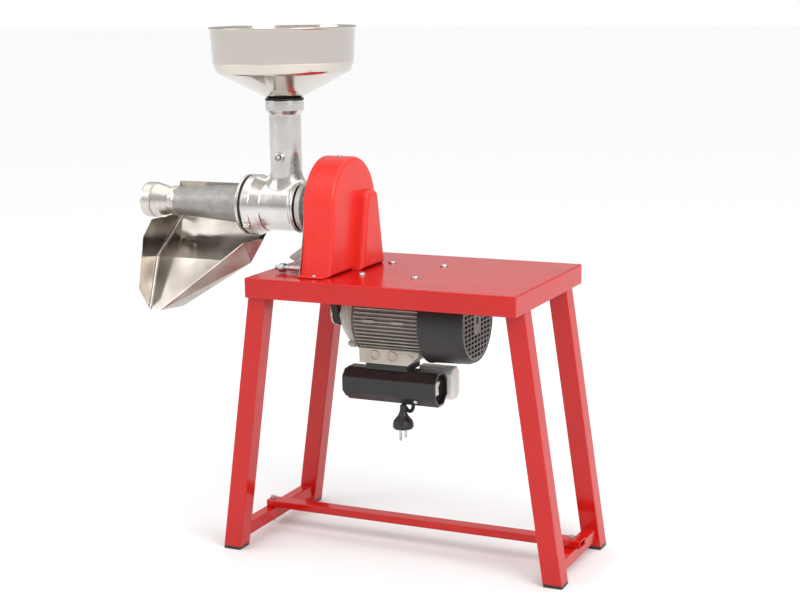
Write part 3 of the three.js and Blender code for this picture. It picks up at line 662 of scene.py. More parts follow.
def build_rungs():
    wall = 1.5
    for side in ("left", "right"):
        node = f"end_rung_{side}"
        low, high = extent(node)
        tube = prism(f"{node}_tube", rectangle((low.x, low.z), (high.x, high.z), 2.0),
                     "y", low.y, high.y, (0.2, 0.2))
        bore = prism("bore", rectangle((low.x + wall, low.z + wall), (high.x - wall, high.z - wall), 0.8),
                     "y", low.y - 1, high.y + 1, (0, 0))
        cut(tube, bore)
        piece(tube, "stand", RED, "red_paint", node)
    low, high = extent("long_rail")
    rail = prism("long_rail_tube", rectangle((low.y, low.z), (high.y, high.z), 2.0),
                 "x", low.x, high.x, (0.2, 0.2))
    bore = prism("bore", rectangle((low.y + wall, low.z + wall), (high.y - wall, high.z - wall), 0.8),
                 "x", low.x - 1, high.x + 1, (0, 0))
    cut(rail, bore)
    piece(rail, "stand", RED, "red_paint", "long_rail")


def build_rail_bolts():
    """Hexagon bolt, washer and nut through each end of the rail."""
    rail_top = extent("long_rail")[1].z
    rung_bottom = extent("end_rung_left")[0].z
    for side in ("left", "right"):
        node = f"rail_bolt_{side}"
        low, high = extent(node)
        at = middle(node)[:2]
        bolt = rod(f"{node}_set", "z", 2.5, low.z, rail_top + 1.0, at, 0.6)
        washer = turned("washer", rounded([(2.4, 0.05), (5.4, 0.05), (5.4, 1.1), (2.4, 1.1)], 0.3, 2),
                        "z", at, rail_top, 40)
        unite(bolt, washer, hexagon("head", "z", 8, rail_top + 1, high.z, at, 0.3),
              hexagon("nut", "z", 8, rung_bottom - 4.1, rung_bottom - 0.1, at, 0.1))
        piece(bolt, "stand", ZINC, "steel", node)


def build_motor_bolts():
    """Low socket heads on the bench top, each with its washer, and nuts under the motor's feet."""
    for corner in CORNERS:
        node = f"motor_bolt_{corner}"
        low, high = extent(node)
        at = middle(node)[:2]
        head = turned(f"{node}_head", rounded([
            (0, high.z - 3.4, 0), (6.5, high.z - 3.4, 0.2), (6.5, high.z - 2.6, 0.6), (5.2, high.z - 0.6, 1.4),
            (4.0, high.z, 0.6), (0, high.z, 0),
        ], 0.3, 3), "z", at, 0.0, 48)
        socket = hexagon("socket", "z", 4, high.z - 1.8, high.z + 2, at)
        cut(head, socket)
        shank = rod("shank", "z", 3.1, low.z, BENCH_TOP + 0.8, at, 0.5)
        nut = hexagon("nut", "z", 10, low.z + 2.8, low.z + 7.9, at, 0.2)
        unite(head, shank, nut)
        piece(head, "stand", ZINC, "steel", node)


# ---------------------------------------------------------------- motor


def build_motor_shell():
    """Die-cast shell: a barrel with straight cooling fins, two feet and their webs."""
    low, high = extent("motor_shell")
    at = (MOTOR.y, MOTOR.z)
    core, fin_tip, bore, length = 50.0, 57.0, 46.0, 115.0
    end = low.x + length
    shell = rod("motor_casting", "x", core, low.x, end, at, 0.6, 96)
    fins = []
    for row in range(-7, 8):
        height = row * 6.4
        half = math.sqrt(fin_tip ** 2 - height ** 2)
        fins.append(block(
            "fin", Vector((low.x + 3, MOTOR.y - half, MOTOR.z + height - 1.0)),
            Vector((end - 2, MOTOR.y + half, MOTOR.z + height + 1.0)), 0.6, 0.6, "x"))
    foot_top = high.z
    foot_length, foot_gap = 108, 56
    feet = []
    for side in (-1, 1):
        middle_y = MOTOR.y + side * foot_gap
        feet.append(block("foot", Vector((high.x - foot_length, middle_y - 12, foot_top - 9)),
                          Vector((high.x, middle_y + 12, foot_top)), 3.0, 0.8))
        web = rounded([
            (middle_y + side * 12, foot_top - 8.5), (middle_y - side * 12, foot_top - 1),
            (MOTOR.y + side * 30, MOTOR.z + 30), (MOTOR.y + side * 44, MOTOR.z + 12),
            (middle_y + side * 2, foot_top - 9),
        ], 1.5)
        for offset in (18, 66):
            start = high.x - foot_length + offset
            feet.append(prism("web", web, "x", start, start + 10, (1.0, 1.0)))
    pad = block("pad", Vector((low.x + 8, MOTOR.y - 26, MOTOR.z - 58)),
                Vector((low.x + 84, MOTOR.y + 26, MOTOR.z - 40)), 1.5, 0.6)
    labels = [
        block("label", Vector((low.x + offset, MOTOR.y - 57.5, MOTOR.z - 2.4)),
              Vector((low.x + offset + 20, MOTOR.y - 46, MOTOR.z + 2.4)), 0.8, 0.6)
        for offset in (19, 69)
    ]
    unite(shell, gather("fins", fins), *feet, pad, gather("labels", labels))
    inside = [rod("bore", "x", bore, low.x - 1, end + 1, at, 0, 64)]
    for corner in CORNERS:
        spot = middle(f"motor_bolt_{corner}")[:2]
        inside.append(rod("hole", "z", 3.6, foot_top - 12, foot_top + 2, spot, 0))
    cut(shell, *inside)
    piece(shell, "stand", MOTOR_PAINT, "motor_paint", "motor_shell")


def build_motor_shields():
    """Bell-shaped front shield with four screwed lugs, and the rear shield behind the fan."""
    low, high = extent("motor_front_shield")
    at = (MOTOR.y, MOTOR.z)
    depth = high.x - low.x
    front = turned("front_shield", rounded([
        (9, 0), (26, 0, 2), (34, 3.5, 4), (48, 16, 6), (56.5, 28, 4), (57.5, depth, 0.5), (49, depth),
        (46, 26, 4), (31, 9, 4), (24, 6), (24, 16.5), (17.8, 16.5), (17.8, 4.5), (9, 4.5),
    ], 0.4, 4), "x", at, low.x, 96)
    lugs, screws = [], []
    for k in range(4):
        angle = (k + 0.5) * TURN / 4
        spot = (MOTOR.y + 58 * math.cos(angle), MOTOR.z + 58 * math.sin(angle))
        lugs.append(rod("lug", "x", 5.6, high.x - 8.7, high.x, spot, 1.0))
        screws.append(hexagon("screw", "x", 7, high.x - 12.4, high.x - 8.6, spot, 0.2))
        screws.append(rod("screw_shank", "x", 2.4, high.x - 9, high.x - 2, spot))
    unite(front, *lugs)
    piece(front, "stand", MOTOR_PAINT, "motor_paint", "motor_front_shield")
    piece(gather("front_shield_screws", screws), "stand", ZINC, "steel")
    rear = turned("rear_shield", rounded([
        (17.8, 0.7), (52, 0), (55, 0), (55, 4.7), (26, 7.7), (26, 10.7), (9, 10.7), (9, 9.7),
        (17.8, 9.7),
    ], 0.8, 3), "x", at, extent("motor_rear_shield")[0].x, 72)
    piece(rear, "stand", MOTOR_PAINT, "motor_paint", "motor_rear_shield")


def build_fan_cover():
    """Black cover with a rolled lip, and a grille of short slots round a solid hub in its end."""
    low, high = extent("fan_cover")
    at = (MOTOR.y, MOTOR.z)
    length = high.x - low.x
    shell = turned("fan_cover_shell", rounded([
        (67.5, 0), (69.5, 0, 0.8), (69.5, 3, 0.8), (68.5, 4.5, 1), (66.5, length - 9, 5),
        (62.5, length, 2.5), (60.4, length, 0.5), (60.4, length - 2.2, 0.3), (63.4, length - 10, 4),
        (65.8, 5, 1),
    ], 0.4, 4), "x", at, low.x, 128)
    piece(shell, "stand", BLACK, "black_plastic", "fan_cover")
    grille = rod("fan_grille", "x", 60.6, high.x - 3.0, high.x - 0.6, at, 0.4, 96)
    slot_width, slot_height, pitch_y, pitch_z = 10.4, 5.4, 12.8, 7.4
    cells = []
    for row in range(-8, 9):
        for column in range(-5, 5):
            y, z = (column + 0.5) * pitch_y, row * pitch_z
            if abs(y) < pitch_y and abs(z) < 2.5 * pitch_z:
                continue
            cells.append(block(
                "cell", Vector((high.x - 8, MOTOR.y + y - slot_width / 2, MOTOR.z + z - slot_height / 2)),
                Vector((high.x + 4, MOTOR.y + y + slot_width / 2, MOTOR.z + z + slot_height / 2)), 0.7, 0, "x"))
    opening = gather("cells", cells)
    combine("INTERSECT", opening, rod("limit", "x", 56.5, high.x - 12, high.x + 8, at, 0, 96))
    keyhole = block("keyhole", Vector((high.x - 8, MOTOR.y - 4, MOTOR.z - 3)),
                    Vector((high.x + 4, MOTOR.y + 4, MOTOR.z + 8)), 1.5, 0, "x")
    cut(grille, opening, keyhole)
    piece(grille, "stand", GRILLE, "black_plastic")


def build_motor_pulley():
    """Small V-pulley on the motor shaft."""
    low, high = extent("motor_pulley")
    width = high.x - low.x
    radius = (high.z - low.z) / 2
    centre = width / 2
    profile = rounded([
        (7.8, 0), (radius, 0, 0.8), (radius, centre - 6.8, 0.5), (radius - 9, centre - 4.6, 0.6),
        (radius - 9, centre + 4.6, 0.6), (radius, centre + 6.8, 0.5), (radius, width, 0.8), (7.8, width),
    ], 0.3, 3)
    piece(turned("motor_pulley_turned", profile, "x", (MOTOR.y, MOTOR.z), low.x, 72),
          "motor_rotor", LATHE, "cast_aluminium", "motor_pulley")


# ---------------------------------------------------------------- electrics


def octagon(node_low, node_high, chamfer, shrink=0.0):
    """Chamfered (y, z) outline inside a node's box."""
    y0, y1 = node_low.y + shrink, node_high.y - shrink
    z0, z1 = node_low.z + shrink, node_high.z - shrink
    c = chamfer
    return [(y0, z0 + c), (y0 + c, z0), (y1 - c, z0), (y1, z0 + c),
            (y1, z1 - c), (y1 - c, z1), (y0 + c, z1), (y0, z1 - c)]


def build_terminal_base():
    """Cast base between motor and starter, with two blanked cable entries facing the operator."""
    low, high = extent("terminal_base")
    pad_half, pad_bottom, fin_tip, gap, slope = 26, 58, 57, 0.3, 19
    x1 = high.x - slope
    body = prism("terminal_casting", rounded([
        (low.x, low.z), (x1, low.z, 3), (high.x, low.z + 17, 3), (high.x, high.z, 0.5), (low.x, high.z, 0.5),
    ], 1.2), "y", low.y + 1, high.y, (1.2, 0.8))
    room = Vector((low.x - 2, MOTOR.y - pad_half - gap, MOTOR.z - pad_bottom - gap))
    cut(body, block("pad_room", room, Vector((high.x + 2, MOTOR.y + pad_half + gap, high.z + 5)), 0, 0),
        rod("shell_room", "x", fin_tip + gap, low.x - 2, high.x + 2, (MOTOR.y, MOTOR.z), 0, 128))
    parts = []
    for offset in (27.5, 57):
        parts.append(turned("entry", rounded([
            (0, 1.5), (4.4, 1.5, 0.6), (4.8, 2.6, 0.3), (5.8, 2.6, 0.3), (6.4, -1.6, 0.8), (8.4, -1.6, 0.8),
            (9.2, 4), (0, 4),
        ], 0.2, 3), "y", (low.x + offset, low.z + 13), low.y, 48))
    knuckle = rod("knuckle", "y", 3.6, low.y - 1.5, low.y + 4, (x1 + 6, low.z + 14), 0.8)
    unite(body, knuckle, *parts)
    piece(body, "stand", BASE_PAINT, "cast_aluminium", "terminal_base")


def build_starter():
    """Black starter housing: octagonal tube, stepped left cap and recessed right end."""
    low, high = extent("starter_housing")
    seat = high.z
    width, height, chamfer, seam = 50, 54.4, 14, 58
    high = Vector((high.x, low.y + width, low.z + height))
    rocker = middle("switch_rocker")
    case = prism("starter_case", rounded(octagon(low, high, chamfer, 0.8), 2.0), "x",
                 low.x + 7, high.x - seam, (1.2, 0.3))
    switch_end = prism("switch_end", rounded(octagon(low, high, chamfer), 2.0), "x",
                       high.x - seam - 0.5, high.x, (0.8, 1.0))
    nose = prism("nose", rounded(octagon(low, high, chamfer - 3, 4.0), 2.0), "x", low.x, low.x + 10, (3.5, 0))
    spacer = block("spacer", Vector((low.x + 40, low.y + 11, high.z - 2)),
                   Vector((high.x - 51, high.y + 11, seat)), 1.5, 0.8)
    unite(case, switch_end, nose, spacer)
    recess = prism("recess", rounded(octagon(low, high, chamfer - 2, 4.0), 1.5), "x",
                   high.x - 9, high.x + 2, (1.0, 0))
    window = block("window", Vector((high.x - 20, rocker.y - 7.6, rocker.z - 14)),
                   Vector((high.x - 5, rocker.y + 7.6, rocker.z + 14)), 1.0, 0, "x")
    gland = rod("gland", "z", 4.2, low.z - 2, low.z + 6, (high.x - 48, (low.y + high.y) / 2), 0)
    cut(case, recess, window, gland)
    piece(case, "stand", GLOSS_BLACK, "black_plastic", "starter_housing")
    bezel = prism("switch_bezel", rectangle((rocker.y - 9.6, rocker.z - 14.6), (rocker.y + 9.6, rocker.z + 14.6), 2),
                  "x", high.x - 9.1, high.x - 7.2, (0, 0.6))
    cut(bezel, block("opening", Vector((high.x - 14, rocker.y - 6.9, rocker.z - 11.8)),
                     Vector((high.x - 5, rocker.y + 6.9, rocker.z + 11.8)), 0.8, 0, "x"))
    piece(bezel, "stand", BLACK, "black_plastic")
    screw = turned("starter_screw", rounded([
        (0, -2.2), (2.6, -2.2, 0.8), (3.4, -0.2, 0.4), (3.4, 4), (0, 4),
    ], 0.3, 3), "y", (high.x - 35, low.z + 8.2), low.y + 6.0, 32)
    piece(screw, "stand", ZINC, "steel")


def build_rocker():
    low, high = extent("switch_rocker")
    reach = high.x - low.x
    rocker = prism("rocker_key", rounded([
        (low.x, low.z), (high.x - 2.0, low.z, 1.2), (high.x - reach * 0.42, (low.z + high.z) / 2, 6),
        (high.x, high.z, 1.2), (low.x, high.z),
    ], 0.4, 5), "y", low.y, high.y, (0.7, 0.7))
    piece(rocker, "switch_unit", WHITE, "white_plastic", "switch_rocker")


def build_capacitor():
    """Light grey box beside the starter, with the seam of its lid."""
    low, high = extent("run_capacitor")
    seam, chamfer = 16, 9
    case = prism("capacitor_case", rounded(octagon(low, high, chamfer), 4.0), "x", low.x, high.x - seam, (1.0, 0.4), 4)
    lid = prism("capacitor_lid", rounded(octagon(low, high, chamfer), 4.0), "x", high.x - seam, high.x, (0.4, 3.0), 4)
    joint = prism("joint", rounded(octagon(low, high, chamfer, 0.7), 4.0), "x", high.x - seam - 1, high.x - seam + 1, (0, 0))
    unite(case, lid, joint)
    piece(case, "stand", GREY, "grey_plastic", "run_capacitor")


def build_cable_and_plug():
    """Mains cable in a short loop, and the plug that hangs from it with its pins down."""
    low, high = extent("power_cable")
    y, top = (low.y + high.y) / 2, extent("starter_housing")[0].z
    plug_low, plug_high = extent("mains_plug")
    at = middle("mains_plug")[:2]
    cable = sweep("mains_cable", [
        (high.x - 4.4, y, top + 4), (high.x - 4.2, y, top - 4), (high.x - 5.5, y, top - 11),
        (high.x - 11, y, top - 14.5), (at[0] + 3, at[1] + 7, top - 10), (at[0] + 0.5, at[1] + 5, top - 3),
        (at[0], at[1] + 1.5, top - 1.5), (at[0], at[1], plug_high.z - 3),
    ], 3.0)
    weld(cable)
    piece(cable, "stand", RUBBER, "rubber", "power_cable")
    height = plug_high.z - plug_low.z
    plug = turned("plug_body", rounded([
        (0, 0), (15.4, 0, 0.8), (15.6, 1.4, 0.6), (16.6, 2, 1.0), (16.4, 8, 2), (15, 12.5, 4), (8, 21, 4),
        (5.4, 28, 3), (4.4, height - 0.5, 0.5), (0, height - 0.5),
    ], 0.3, 4), "z", at, plug_low.z, 64)
    grips = gather("grips", [
        block("grip", Vector((at[0] - 20, at[1] - 9 + k * 4.5 - 0.8, plug_low.z + 3)),
              Vector((at[0] + 20, at[1] - 9 + k * 4.5 + 0.8, plug_low.z + 9)), 0.3, 0)
        for k in range(5)
    ])
    cut(grips, rod("core", "z", 15.8, plug_low.z - 2, plug_high.z, at, 0, 64))
    cut(plug, grips)
    piece(plug, "stand", BLACK, "black_plastic", "mains_plug")
    face = turned("plug_face", rounded([(0, -1.2), (13.6, -1.2, 1.2), (14.6, 0.6, 0.3), (0, 0.6)], 0.3, 3),
                  "z", at, plug_low.z, 64)
    piece(face, "stand", GREY, "grey_plastic")
    pin_tip = extent("plug_pins")[0].z
    pins = [
        rod("pin", "z", 2.4, pin_tip, plug_low.z, (at[0], at[1] + offset), 1.6, 24) for offset in (-9.5, 9.5)
    ]
    piece(gather("plug_pin_pair", pins), "stand", ZINC, "steel", "plug_pins")


# ---------------------------------------------------------------- belt drive


def build_large_pulley():
    """V-pulley with a web lightened by six round holes."""
    low, high = extent("large_pulley")
    width = high.x - low.x
    radius = (high.z - low.z) / 2
    centre = width / 2
    rim = radius - 14
    profile = rounded([
        (10.3, 0), (20, 0, 1), (20, centre - 4, 2), (rim, centre - 4, 2), (rim, 0, 1), (radius, 0, 0.8),
        (radius, centre - 6.8, 0.5), (radius - 9, centre - 4.6, 0.6), (radius - 9, centre + 4.6, 0.6),
        (radius, centre + 6.8, 0.5), (radius, width, 0.8), (rim, width, 1), (rim, centre + 4, 2),
        (20, centre + 4, 2), (20, width, 1), (10.3, width),
    ], 0.3, 3)
    wheel = turned("large_pulley_turned", profile, "x", (PRESS.y, PRESS.z), low.x, 96)
    holes = []
    for k in range(6):
        angle = TURN * k / 6
        spot = (PRESS.y + 37 * math.cos(angle), PRESS.z + 37 * math.sin(angle))
        holes.append(rod("hole", "x", 9, low.x - 2, high.x + 2, spot, 0))
    cut(wheel, gather("holes", holes))
    piece(wheel, "auger_drive", SAND_CAST, "cast_aluminium", "large_pulley")


def build_shaft_and_nut():
    low, high = extent("drive_shaft")
    at = (PRESS.y, PRESS.z)
    shaft = turned("drive_shaft_turned", rounded([
        (0, 0), (10, 0, 0.8), (10, high.x - low.x - 8, 0.6), (7, high.x - low.x - 8, 0.2),
        (7, high.x - low.x, 0.8), (0, high.x - low.x),
    ], 0.3, 3), "x", at, low.x, 64)
    piece(shaft, "auger_drive", ZINC, "steel", "drive_shaft")
    nut_low, nut_high = extent("pulley_nut")
    washer_end = nut_low.x + 5.1
    nut = hexagon("pulley_nut_set", "x", 22, washer_end - 0.1, nut_high.x, at, 0.2)
    washer = rod("washer", "x", 15, nut_low.x, washer_end, at, 0.6, 48)
    unite(nut, washer)
    cut(nut, rod("bore", "x", 10.3, nut_low.x - 1, nut_low.x + 7.8, at, 0, 48),
        rod("thread", "x", 7.3, nut_low.x, nut_high.x + 1, at, 0, 48))
    piece(nut, "auger_drive", ZINC, "steel", "pulley_nut")


def belt_path(outer_large, outer_small, steps=40):
    """Closed (y, z) outline of an open belt round the two pulleys."""
    large = Vector((PRESS.y, PRESS.z))
    small = Vector((MOTOR.y, MOTOR.z))
    along = small - large
    heading = math.atan2(along.y, along.x)
    lean = math.acos((outer_large - outer_small) / along.length)
    outline = []
    for centre, radius, start, end in (
        (large, outer_large, heading + lean, heading - lean + TURN),
        (small, outer_small, heading - lean, heading + lean),
    ):
        for k in range(steps + 1):
            angle = start + (end - start) * k / steps
            outline.append(centre + Vector((math.cos(angle), math.sin(angle))) * radius)
    return outline


def build_belt():
    """V-belt with a trapezoid section that sits in both grooves."""
    low, high = extent("v_belt")
    centre = (low.x + high.x) / 2
    large_r = (extent("large_pulley")[1].z - extent("large_pulley")[0].z) / 2
    small_r = (extent("motor_pulley")[1].z - extent("motor_pulley")[0].z) / 2
    section = rounded([(-0.5, -6.0), (-0.5, 6.0), (-8.0, 4.0), (-8.0, -4.0)], 0.6, 2)
    loops = [belt_path(large_r + depth, small_r + depth) for depth, _ in section]
    rings = []
    for k in range(len(loops[0])):
        rings.append([
            place("x", loop[k].x, loop[k].y, centre + across)
            for loop, (_, across) in zip(loops, section)
        ])
    piece(loft("v_belt_loop", rings, cyclic=True), "stand", RUBBER, "rubber", "v_belt")


def build_bracket():
    """Cast bearing bracket: a hub and flange on a ribbed pedestal with a bolted foot."""
    low, high = extent("bearing_bracket")
    at = (PRESS.y, PRESS.z)
    seat = low.z
    foot_top = seat + 8
    foot = (BENCH.y - 62, BENCH.y + 26)
    face = extent("rear_seal")[1].x + 0.3
    hub = rod("bracket_casting", "x", 30, face, high.x, at, 1.5, 80)
    flange = rod("flange", "x", 39.5, face - 3.2, face + 6, at, 1.2, 80)
    plate = prism("plate", rounded([
        (foot[0], seat), (foot[1], seat), (PRESS.y + 26, PRESS.z), (PRESS.y - 26, PRESS.z),
    ], 1.0), "x", high.x - 7, high.x, (1.2, 0.8))
    base = block("base", Vector((face - 6, foot[0], seat)), Vector((high.x, foot[1], foot_top)), 5.0, 1.0)
    spine = prism("spine", rounded([
        (high.x - 2, seat + 2), (high.x - 2, PRESS.z - 28), (face + 8, PRESS.z - 28), (face + 8, seat + 60),
        (face - 8, seat + 32), (low.x, seat + 12), (low.x + 24, seat + 2),
    ], 3.0), "y", PRESS.y - 3.5, PRESS.y + 3.5, (1.2, 1.2))
    ribs = [
        prism("rib", rounded([
            (face - 5, seat + 2), (high.x - 2, seat + 2), (high.x - 2, foot_top + 30), (face - 5, foot_top + 1),
        ], 2.0), "y", y, y + 6, (1.0, 1.0))
        for y in (foot[0] + 1, foot[1] - 7)
    ]
    stud = middle("guard_stud")
    ear = prism("ear", rounded([
        (stud.y - 9, seat), (foot[0] + 4, seat), (foot[0] + 4, stud.z + 12), (stud.y - 9, stud.z + 7),
    ], 3.0), "x", high.x - 7, high.x, (1.0, 0.8))
    unite(hub, flange, plate, base, spine, ear, *ribs)
    cut(hub, rod("bore", "x", 24, face - 5, high.x - 5, at, 0, 64),
        rod("shaft_hole", "x", 13, face - 6, high.x + 1, at, 0, 48),
        rod("stud_hole", "x", 4.3, high.x - 12, high.x + 2, (stud.y, stud.z), 0, 24))
    piece(hub, "stand", SAND_CAST, "cast_aluminium", "bearing_bracket")
    for k in (1, 2):
        node = f"bracket_bolt_{k}"
        bolt_low, bolt_high = extent(node)
        spot = middle(node)[:2]
        bolt = hexagon(f"{node}_set", "z", 13, foot_top + 1.5, bolt_high.z, spot, 0.25)
        unite(bolt, rod("shank", "z", 4, bolt_low.z, foot_top + 2, spot, 0.6),
              rod("washer", "z", 8.5, foot_top + 0.1, foot_top + 1.7, spot, 0.3))
        piece(bolt, "stand", ZINC, "steel", node)


def build_guard_stud():
    low, high = extent("guard_stud")
    at = middle("guard_stud")[1:]
    stud = rod("guard_stud_bar", "x", 4, low.x, high.x, at, 0.8, 32)
    unite(stud, hexagon("nut", "x", 13, low.x + 7, low.x + 14.5, at, 0.1),
          rod("washer", "x", 7.4, low.x + 14.4, low.x + 16, at, 0.3))
    piece(stud, "stand", ZINC, "steel", "guard_stud")


# ---------------------------------------------------------------- belt guard


def bezier(p0, p1, p2, p3, steps=12):
    points = []
    for k in range(steps + 1):
        t = k / steps
        u = 1 - t
        points.append(
            Vector(p0) * u ** 3 + Vector(p1) * 3 * u * u * t + Vector(p2) * 3 * u * t * t + Vector(p3) * t ** 3
        )
    return points


def guard_outline(inset_by, bottom):
    """(y, z) outline of the guard: a round head that flares to a wider foot."""
    y = PRESS.y + 1.0
    radius = 76 - inset_by
    arc_z = extent("belt_guard")[1].z - 76
    rise = BENCH_TOP + 0.5

    def flank(side, foot):
        return bezier((y + side * foot, rise), (y + side * (foot - 12), rise + 50),
                      (y + side * radius, arc_z - 30),
                      (y + side * radius * 0.995, arc_z + radius * 0.1))

    arc = []
    for k in range(1, 32):
        angle = 0.1 + (math.pi - 0.2) * k / 32
        arc.append(Vector((y + radius * math.cos(angle), arc_z + radius * math.sin(angle))))
    rear_foot, front_foot = 100 - inset_by, 90 - inset_by
    outline = flank(1, rear_foot) + arc + flank(-1, front_foot)[::-1]
    if bottom < rise:
        outline = [Vector((y + rear_foot, bottom))] + outline + [Vector((y - front_foot, bottom))]
    return outline


def bulge_outline(inset_by, bottom, top):
    """(y, z) outline of the raised housing, wide at its foot and rounded at its narrow top."""
    y = BENCH.y
    return rounded([
        (y - 29 + inset_by, bottom, 0), (y + 54 - inset_by, bottom, 0), (y + 33 - inset_by, top - 6, 14),
        (y + 27 - inset_by, top, 8), (y + inset_by, top, 8), (y - 6 + inset_by, top - 6, 12),
    ], 9, 6)


def build_guard():
    """Moulded guard: a flared hood with a raised housing on its outer face and foot lips."""
    low, high = extent("belt_guard")
    wall = 2.5
    face = low.x + 50.5
    rise = BENCH_TOP + 0.5
    top = PRESS.z + 26
    hood = prism("guard_hood", guard_outline(0, rise), "x", low.x, face, (0.5, 7.0), 6)
    housing = prism("housing", bulge_outline(0, rise, top), "x", face - 12, high.x, (0, 8.0), 6)
    lips = []
    y = PRESS.y + 1.0
    for side in (-1, 1):
        edge = sorted((y + side * 84, y + side * 105))
        lips.append(block("lip", Vector((low.x + 1, edge[0], rise)),
                          Vector((face - 6, edge[1], rise + 2.6)), 3.5, 0.8))
    unite(hood, housing, *lips)
    hollow = prism("hollow", guard_outline(wall, rise - 3), "x", low.x - 2, face - wall, (0, 5.0), 5)
    pocket = prism("pocket", bulge_outline(wall, rise - 3, top - wall), "x", face - 20, high.x - wall, (0, 6.0), 5)
    cut(hood, hollow, pocket)
    piece(hood, "stand", GUARD, "red_plastic", "belt_guard")
    screws = []
    for side in (-1, 1):
        spot = (low.x + 28, y + side * 99.5)
        screws.append(turned("lip_screw", rounded([
            (0, 0), (4.0, 0, 0.3), (3.8, 1.2, 0.8), (2.2, 2.4, 1.0), (0, 2.6),
        ], 0.3, 3), "z", spot, rise + 2.7, 32))
    screws.append(turned("top_screw", rounded([
        (0, -3), (3.0, -3), (3.0, -0.2, 0.2), (4.2, 0, 0.3), (3.8, 1.4, 0.8), (0, 2.2),
    ], 0.3, 3), "z", (low.x + 25, y), high.z, 32))
    piece(gather("guard_screws", screws), "stand", ZINC, "steel")


# ---------------------------------------------------------------- press body and hopper


def neck_fillet(barrel, neck, rise, reach, steps=64, arc=8):
    """Ring of metal that blends the neck into the barrel, like the fillet of a casting."""
    rings = []
    for k in range(steps):
        turn = TURN * k / steps
        side, along = math.sin(turn), math.cos(turn)
        theta = math.asin(neck * side / barrel)
        foot = Vector((neck * along, barrel * math.sin(theta), barrel * math.cos(theta)))
        start = foot + Vector((0, 0, rise))
        theta_end = theta + reach * side / barrel
        end = Vector(((neck + reach) * along, barrel * math.sin(theta_end), barrel * math.cos(theta_end)))
        ring = []
        for j in range(arc + 1):
            t = j / arc
            ring.append(start * (1 - t) ** 2 + foot * 2 * t * (1 - t) + end * t * t)
        inward = Vector((along, side, 0)) * 0.4
        ring[0] -= inward
        ring[-1] = Vector((ring[-1].x, ring[-1].y * (1 - 0.4 / barrel), ring[-1].z * (1 - 0.4 / barrel)))
        ring.append(Vector(((neck + reach) * 0.8 * along, end.y * 0.8, end.z * 0.8)))
        ring.append(Vector(((neck - 2) * along, (neck - 2) * side, foot.z - 4)))
        ring.append(Vector(((neck - 2) * along, (neck - 2) * side, start.z)))
        rings.append([Vector((NECK.x, PRESS.y, PRESS.z)) + p for p in ring])
    return loft("fillet", rings, cyclic=True)


def build_press_body():
    """Polished casting: mouth band, barrel, rear flange and a tall neck with its collar."""
    low, high = extent("press_body")
    at = (PRESS.y, PRESS.z)
    barrel_r, neck_r, length = 40.0, 25.3, 90.0
    barrel = turned("body_casting", rounded([
        (0, 0, 0), (47.6, 0, 0.5), (48.5, 2, 1.0), (48.5, 13.5, 1.2), (47.2, 15.0, 0.6), (46.9, 16.0, 0.5),
        (41.6, 30.0, 1.0), (barrel_r, 31.5, 0.8), (barrel_r, length - 9, 3), (41.5, length - 6, 1.2),
        (41.5, length - 3.6, 0.6), (40.6, length - 3, 0.3), (40.6, length - 2.4, 0.3), (41.5, length, 0.8), (0, length, 0),
    ], 0.5, 4), "x", at, low.x, 128)
    collar_top = high.z
    neck = turned("neck", rounded([
        (0, 560, 0), (neck_r, 560, 0), (neck_r, collar_top - 22, 2), (27.2, collar_top - 19.5, 2),
        (30.4, collar_top - 15.5, 1.5), (30.4, collar_top - 4.6, 0.3), (29.9, collar_top - 4.3, 0.2),
        (29.9, collar_top - 3.4, 0.2), (30.4, collar_top - 3.1, 0.2), (30.4, collar_top, 0.8), (0, collar_top, 0),
    ], 0.4, 3), "z", (NECK.x, PRESS.y), 0.0, 96)
    fillet = neck_fillet(barrel_r, neck_r, 20, 11)
    gusset = prism("gusset", rounded([
        (low.x + 22, PRESS.z + 30, 0), (low.x + 22, PRESS.z + 43.5, 2), (low.x + 27, PRESS.z + 45, 4),
        (NECK.x - neck_r - 2, PRESS.z + 50, 8), (NECK.x - neck_r + 1, PRESS.z + 66, 2), (NECK.x - 10, PRESS.z + 66, 0),
        (NECK.x - 10, PRESS.z + 30, 0),
    ], 2, 5), "y", PRESS.y - 8, PRESS.y + 8, (5.0, 5.0), 5)
    screw = middle("neck_screw")
    boss = rod("boss", "y", 8.0, PRESS.y - 29.5, PRESS.y - 5, (screw.x, screw.z), 1.6, 48)
    lug_angle = math.radians(218)
    lug_spot = (PRESS.y + 47 * math.cos(lug_angle), PRESS.z + 47 * math.sin(lug_angle))
    lug = rod("mouth_lug", "x", 5.2, low.x + 1.5, low.x + 13, lug_spot, 1.6, 32)
    unite(barrel, neck, fillet, gusset, boss, lug)
    inside = turned("inside", rounded([
        (0, -2, 0), (38, -2, 0), (38, 6, 0.3), (36, 7, 0.3), (36, length - 10, 1), (0, length - 10, 0)], 0.3, 2),
        "x", at, low.x, 96)
    shaft_hole = rod("shaft_hole", "x", 12, low.x + length - 14, high.x + 5, at, 0, 48)
    throat = turned("throat", rounded([
        (0, 540, 0), (21.5, 540, 0), (21.5, collar_top - 22, 0), (24.3, collar_top - 18, 0.5),
        (24.3, collar_top + 2, 0), (0, collar_top + 2, 0)], 0.2, 2), "z", (NECK.x, PRESS.y), 0.0, 72)
    screw_hole = rod("screw_hole", "y", 3.4, PRESS.y - 40, PRESS.y, (screw.x, screw.z), 0, 24)
    cut(barrel, inside, shaft_hole, throat, screw_hole)
    piece(barrel, "stand", CASTING, "cast_aluminium", "press_body", sharp=38)
    build_neck_screw(screw)
    low, high = extent("rear_seal")
    seal = turned("rear_ring", rounded([(12.5, 0), (37.6, 0), (37.6, 2.0), (12.5, 2.0)], 0.6, 3), "x", at, low.x, 96)
    piece(seal, "stand", RUBBER, "rubber", "rear_seal")


